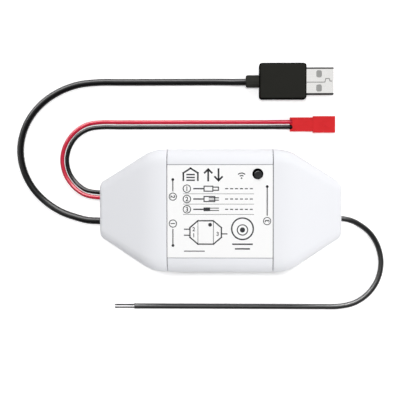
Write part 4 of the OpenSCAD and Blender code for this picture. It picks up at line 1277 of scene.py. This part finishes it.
class CONTROLLER_OT_leads(bpy.types.Operator):
    """Lays the power cord, the two sensor wires and the signal cable with its stripped ends"""
    bl_idname = "controller.leads"
    bl_label = "Leads"

    def execute(self, context):
        make_finishes(context.scene)
        s = context.scene.controller_leads
        h = context.scene.controller_housing
        tree = jacket_tree()
        self.strands(s, h, tree)
        # Piece, route, end and exit, thickness, finish, slot, node, far end and the pieces it carries
        rows = (
            ("power_jacket", POWER_ROUTE, -1, s.power_at, s.power, "black_extruded_pvc", "black_pvc",
             "power_cord", "plug", ["plug_overmould", "plug_shell", "usb_insulator", "usb_contacts"]),
            ("red_jacket", RED_ROUTE, -1, s.red_at, s.sensor, "red_extruded_pvc", "red_pvc",
             "sensor_wire_red", "connector", ["red_plug_housing", "sensor_plug_pins"]),
            ("black_jacket", BLACK_ROUTE, -1, s.black_at, s.sensor, "black_extruded_pvc", "black_pvc",
             "sensor_wire_black", "connector", ["red_plug_housing"]),
            ("signal_jacket", SIGNAL_ROUTE, 1, s.signal_at, s.signal, "glossy_extruded_pvc", "black_pvc",
             "signal_cable", "bare", ["stripped_strands"]),
        )
        for name, route, side, across_at, thick, finish, slot, node, end, carried in rows:
            at = Vector((side * h.long / 2, across_at, h.split))
            plug = SHELL_AT.z if end == "plug" else RED_PLUG_HIGH
            path = smooth_path(laid_route(route, at, thick / 2, plug))
            made = piece(name, swept([path], thick / 2, 24, tree, finish), "housing", slot, node)
            receivers("glossy_pieces").objects.link(made)
            if name == "power_jacket":
                receivers("left_loops").objects.link(made)
        return {"FINISHED"}

    def strands(self, s, h, tree):
        """Stripped conductors: strands twisted round a middle one, cut to uneven lengths."""
        at = Vector((h.long / 2, s.signal_at, h.split))
        end = laid_route(SIGNAL_ROUTE, at, s.signal / 2, 0)[-1]
        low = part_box("signal_conductors")[0]
        radius = s.strip / 6
        steps = 40
        paths = []
        for side in (-1, 1):
            axis = end + Vector((s.start, side * s.pitch / 2, 0))
            for k in range(OUTER_STRANDS + 1):
                reach = 0 if k == OUTER_STRANDS else 2 * radius
                long = axis.x - low.x - STRAND_STEP * (k * 5 % (OUTER_STRANDS + 1))
                path = []
                for step in range(steps + 1):
                    along = long * step / steps
                    turn = 2 * math.pi * (along / s.twist + k / OUTER_STRANDS)
                    path.append(axis + Vector((-along, reach * math.cos(turn), reach * math.sin(turn))))
                paths.append(path)
        mesh = swept(paths, radius, 8, tree, "shade_black_copper_strand")
        piece("stripped_strands", mesh, "housing", "tinned_copper", "signal_conductors")


# Plugs

class CONTROLLER_OT_power_plug(bpy.types.Operator):
    """Makes the power plug: overmoulded body with its fluted neck, and the folded metal shell"""
    bl_idname = "controller.power_plug"
    bl_label = "Power plug"

    def execute(self, context):
        make_finishes(context.scene)
        p = context.scene.controller_plugs
        self.body(p)
        self.shell(p)
        dress("white_moulded_pbt", "usb_insulator")
        dress("gold_plated_brass", "usb_contacts")
        return {"FINISHED"}

    def body(self, p):
        """Overmoulded body with the neck that grips the cord and the pocket that holds the shell."""
        at = SHELL_AT - Vector((p.body_long, 0, 0))
        rows = fillet(p.body_edge, 8)
        rows += [(p.body_long - x, inset) for x, inset in rows[::-1]]
        rings = [rounded_ring(x, p.body_wide - 2 * inset, p.body_high - 2 * inset,
                              p.body_edge - inset + END_RADIUS) for x, inset in rows]
        block = prism("overmould_block", rings, at)
        rows = [(x - p.neck_long, inset) for inset, x in fillet(p.neck_edge, 6)][::-1]
        rows += [(-FLUTE_STOP, 0), (p.body_edge, 0)]
        neck = prism("overmould_neck", [self.neck_ring(p, x, inset) for x, inset in rows], at)
        body = placed("overmould", carve(block, [neck], "UNION"))
        fold = p.shell_fold + 2 * SLIVER
        size = (p.shell_wide + p.pocket, p.shell_high + p.pocket, fold)
        rings = [rounded_ring(x, *size) for x in (-p.shell_deep, p.body_edge)]
        pocket = prism("shell_pocket", rings, SHELL_AT)
        mesh = finished(carve(body, [pocket]), ["black_overmoulded_pvc"], 40.0)
        keep_flat(piece("plug_overmould", mesh, "housing", "plug_pvc", "usb_plug_body"))

    def neck_ring(self, p, x, inset, steps=96):
        """Points round the neck, with its flutes outside the body."""
        ring = []
        for k in range(steps):
            a = 2 * math.pi * k / steps
            flute = p.flute * (0.5 - 0.5 * math.cos(NECK_FLUTES * a)) ** 3 if x < 0 else 0
            reach = p.neck / 2 - inset - flute
            ring.append(Vector((x, reach * math.cos(a), reach * math.sin(a))))
        return ring

    def shell(self, p):
        """Folded sheet with windows in both faces and the joint of the fold."""
        bm = bmesh.new()
        walls = []
        for inset in (0.0, p.sheet):
            size = (p.shell_wide - 2 * inset, p.shell_high - 2 * inset, p.shell_fold - inset)
            rings = [[q + SHELL_AT for q in rounded_ring(x, *size)] for x in (-p.shell_deep, p.shell_long)]
            walls.append(add_rings(bm, rings, closed=True))
        for outer, inner in zip(*walls):
            add_strip(bm, inner, outer, closed=True)
        tube = solid("shell_tube", bm)
        mesh = finished(carve(tube, [*self.windows(p), self.fold_joint(p)]), ["nickel_plated_steel"], 30.0)
        keep_flat(piece("plug_shell", mesh, "housing", "usb_steel", "usb_shell"))

    def windows(self, p):
        """Cutters of the windows, through both faces."""
        turn = Matrix.Rotation(math.pi / 2, 4, "Y")
        size = (p.window_wide, p.window_long, p.window_corner)
        rings = [[turn @ q for q in rounded_ring(x, *size)] for x in (-p.shell_high, p.shell_high)]
        middle = p.shell_long - p.window_back - p.window_long / 2
        return [prism("window", rings, SHELL_AT + Vector((middle, side * p.window_apart / 2, 0)))
                for side in (-1, 1)]

    def fold_joint(self, p):
        """Cutter of the joint, through the sheet of the upper face."""
        outline = widened(FOLD_JOINT, FOLD_JOINT_HALF)
        top, below, above = p.shell_high / 2, 0.05 * MM, 0.2 * MM
        heights = (top - p.sheet - below, top + above)
        rings = [[Vector((q.x * MM, q.y * MM, z)) for q in outline] for z in heights]
        return prism("fold_joint", rings, SHELL_AT)


class CONTROLLER_OT_sensor_plug(bpy.types.Operator):
    """Makes the red two-way plug with softened edges, and dresses its pins"""
    bl_idname = "controller.sensor_plug"
    bl_label = "Sensor plug"

    def execute(self, context):
        make_finishes(context.scene)
        mesh = mesh_from(merged_copy("sensor_plug"), "red_plug_housing")
        mesh = finished(mesh, ["red_moulded_nylon"], 30.0)
        made = piece("red_plug_housing", mesh, "housing", "plug_red", "sensor_plug")
        soft = made.modifiers.new("soft_edges", "BEVEL")
        soft.width = context.scene.controller_plugs.red_edge
        soft.segments = 2
        soft.limit_method = "ANGLE"
        soft.angle_limit = math.radians(40)
        soft.harden_normals = True
        dress("gold_plated_brass", "sensor_plug_pins")
        return {"FINISHED"}


# Inside

INSIDE = {
    "green_solder_mask": ("circuit_board",),
    "blue_solder_mask": ("wireless_board",),
    "tinned_sheet": ("wireless_shield", "switch_plate"),
    "blue_relay_pbt": ("relay",),
    "gold_plated_brass": ("relay_pins",),
    "drawn_aluminium_can": ("capacitors",),
    "black_moulded_epoxy": ("voltage_regulator", "optocoupler", "flyback_diode", "chip_resistors",
                            "switch_body", "switch_plunger"),
    "clear_cast_epoxy": ("status_led",),
    "zinc_plated_steel": ("board_screws",),
    "natural_nylon": ("wire_headers",),
    "black_grip_pvc": ("power_grip", "sensor_grip", "signal_grip"),
    "red_lead_pvc": ("power_leads", "sensor_leads"),
    "black_lead_pvc": ("signal_leads",),
}


class CONTROLLER_OT_inside(bpy.types.Operator):
    """Dresses the circuit board, its parts, the grips and the inner leads"""
    bl_idname = "controller.inside"
    bl_label = "Inside"

    def execute(self, context):
        make_finishes(context.scene)
        for finish, nodes in INSIDE.items():
            dress(finish, *nodes)
        return {"FINISHED"}


# Stage

def soft_lamp(name, target, place, size, power, card=None):
    """A soft studio light. A card gives only gloss, to the pieces in its collection, and any other
    light none."""
    lamp = bpy.data.lights.new(name, "AREA")
    lamp.shape = "RECTANGLE"
    lamp.size, lamp.size_y = size
    lamp.energy = power
    made = placed(name, lamp)
    made.location = place
    made.rotation_euler = (Vector(target) - Vector(place)).to_track_quat("-Z", "Y").to_euler()
    made.visible_camera = False
    made.visible_glossy = bool(card)
    made.visible_diffuse = not card
    if card:
        made.light_linking.receiver_collection = receivers(card)


def towards(tree, way, low, high, start, end):
    """A value of the sky that goes from start to end towards a way."""
    sky = add_node(tree, "ShaderNodeTexCoord").outputs["Generated"]
    return ranged(tree, vector_node(tree, "DOT_PRODUCT", sky, way)["Value"], low, high, start, end)


class CONTROLLER_OT_stage(bpy.types.Operator):
    """Sets the pale floor, the soft studio light and the camera"""
    bl_idname = "controller.stage"
    bl_label = "Stage"

    def execute(self, context):
        make_finishes(context.scene)
        scene = context.scene
        scene.view_settings.view_transform = "Standard"
        self.floor(scene.controller_stage)
        self.world(scene, scene.controller_stage)
        for name, settings in LAMPS.items():
            soft_lamp(name, (0, 0, 0), *settings)
        for name, settings in CARDS.items():
            soft_lamp(name, CARD_TARGET, *settings)
        data = bpy.data.cameras.new("camera")
        data.lens = CAMERA_LENS
        data.sensor_width = CAMERA_SENSOR
        camera = placed("camera", data)
        camera.location = [c * MM for c in CAMERA_AT]
        camera.rotation_euler = [math.radians(a) for a in CAMERA_TURN]
        scene.camera = camera
        return {"FINISHED"}

    def floor(self, s):
        """Pale floor. It keeps the shadow before the housing, and shows some white elsewhere, the more
        the farther off, to the camera and in gloss and glass."""
        tree = start_finish("pale_floor")
        path = add_node(tree, "ShaderNodeLightPath").outputs
        seen = math_node(tree, "MAXIMUM", path["Is Camera Ray"], path["Is Glossy Ray"])
        seen = math_node(tree, "MAXIMUM", seen, path["Is Transmission Ray"])
        place = object_place(tree)
        scale = [1 / half for half in SHADOW_HALF]
        shift = [-middle / half for middle, half in zip(SHADOW_AT, SHADOW_HALF)]
        strip = vector_node(tree, "MULTIPLY_ADD", place, (*scale, 0), (*shift, 0))["Vector"]
        strip = parts_of(tree, vector_node(tree, "ABSOLUTE", strip)["Vector"])
        beside = math_node(tree, "MAXIMUM", strip["X"], strip["Y"])
        near = ranged(tree, beside, *SHADOW_FADE, 0.0, s.glow)
        away = vector_node(tree, "LENGTH", place)["Value"]
        far = ranged(tree, away, *FAR_FLOOR, 0.0, FAR_WHITE)
        amount = math_node(tree, "MULTIPLY", seen, math_node(tree, "ADD", near, far))
        glow = add_node(tree, "ShaderNodeEmission", None, {"Strength": amount})
        matt = add_node(tree, "ShaderNodeBsdfDiffuse", None, {"Color": list(s.floor)})
        both = add_node(tree, "ShaderNodeAddShader", None, {0: matt.outputs[0], 1: glow.outputs[0]})
        end_finish(tree, both)
        bm = bmesh.new()
        bmesh.ops.create_grid(bm, x_segments=4, y_segments=4, size=FLOOR_HALF)
        bmesh.ops.translate(bm, vec=(0, 0, -FLOOR_DROP), verts=bm.verts)
        placed("floor", finished(mesh_from(bm, "floor"), ["pale_floor"]))

    def world(self, scene, s):
        """Soft light, stronger from the back, before a white ground. Gloss shows a bright overhead
        panel that leans back, a pale wall at the back left and a dark one opposite."""
        world = bpy.data.worlds.new("studio")
        scene.world = world
        world.use_nodes = True
        world.cycles.sampling_method = "NONE"
        tree = world.node_tree
        tree.nodes.clear()
        sky = math_node(tree, "MAXIMUM", towards(tree, *PANEL), towards(tree, *WALL))
        dome = towards(tree, DOME_LEAN, -1.0, 1.0, 0.0, s.ambient * 2)
        path = add_node(tree, "ShaderNodeLightPath").outputs
        light = mixed(tree, path["Is Glossy Ray"], dome, sky)
        seen = math_node(tree, "MAXIMUM", path["Is Camera Ray"], path["Is Transmission Ray"])
        ground = add_node(tree, "ShaderNodeBackground", None, {"Strength": mixed(tree, seen, light, 1.0)})
        add_node(tree, "ShaderNodeOutputWorld", None, {"Surface": ground.outputs[0]})


class CONTROLLER_PT_sidebar(bpy.types.Panel):
    """Lists the controller's pieces and settings"""
    bl_idname = "CONTROLLER_PT_sidebar"
    bl_label = "Garage door controller"
    bl_space_type = "VIEW_3D"
    bl_region_type = "UI"
    bl_category = "Controller"

    def draw(self, context):
        for operator in OPERATORS:
            self.layout.operator(operator.bl_idname)
        for name, kind in SETTINGS.items():
            box = self.layout.box()
            for field in kind.__annotations__:
                box.prop(getattr(context.scene, name), field)


OPERATORS = (
    CONTROLLER_OT_stage, CONTROLLER_OT_covers, CONTROLLER_OT_base, CONTROLLER_OT_screws,
    CONTROLLER_OT_label, CONTROLLER_OT_button, CONTROLLER_OT_power_plug, CONTROLLER_OT_sensor_plug,
    CONTROLLER_OT_leads, CONTROLLER_OT_inside)


def register():
    """Registers the settings, operators and panel."""
    for kind in (*SETTINGS.values(), *OPERATORS, CONTROLLER_PT_sidebar):
        bpy.utils.register_class(kind)
    for name, kind in SETTINGS.items():
        setattr(bpy.types.Scene, name, bpy.props.PointerProperty(type=kind))


def unregister():
    """Removes what register added."""
    for name in SETTINGS:
        delattr(bpy.types.Scene, name)
    for kind in (CONTROLLER_PT_sidebar, *reversed(OPERATORS), *reversed(SETTINGS.values())):
        bpy.utils.unregister_class(kind)


def main():
    """Makes every piece in order."""
    register()
    bpy.ops.controller.stage()
    bpy.ops.controller.covers()
    bpy.ops.controller.base()
    bpy.ops.controller.screws()
    bpy.ops.controller.label()
    bpy.ops.controller.button()
    bpy.ops.controller.power_plug()
    bpy.ops.controller.sensor_plug()
    bpy.ops.controller.leads()
    bpy.ops.controller.inside()


if __name__ == "__main__":
    main()
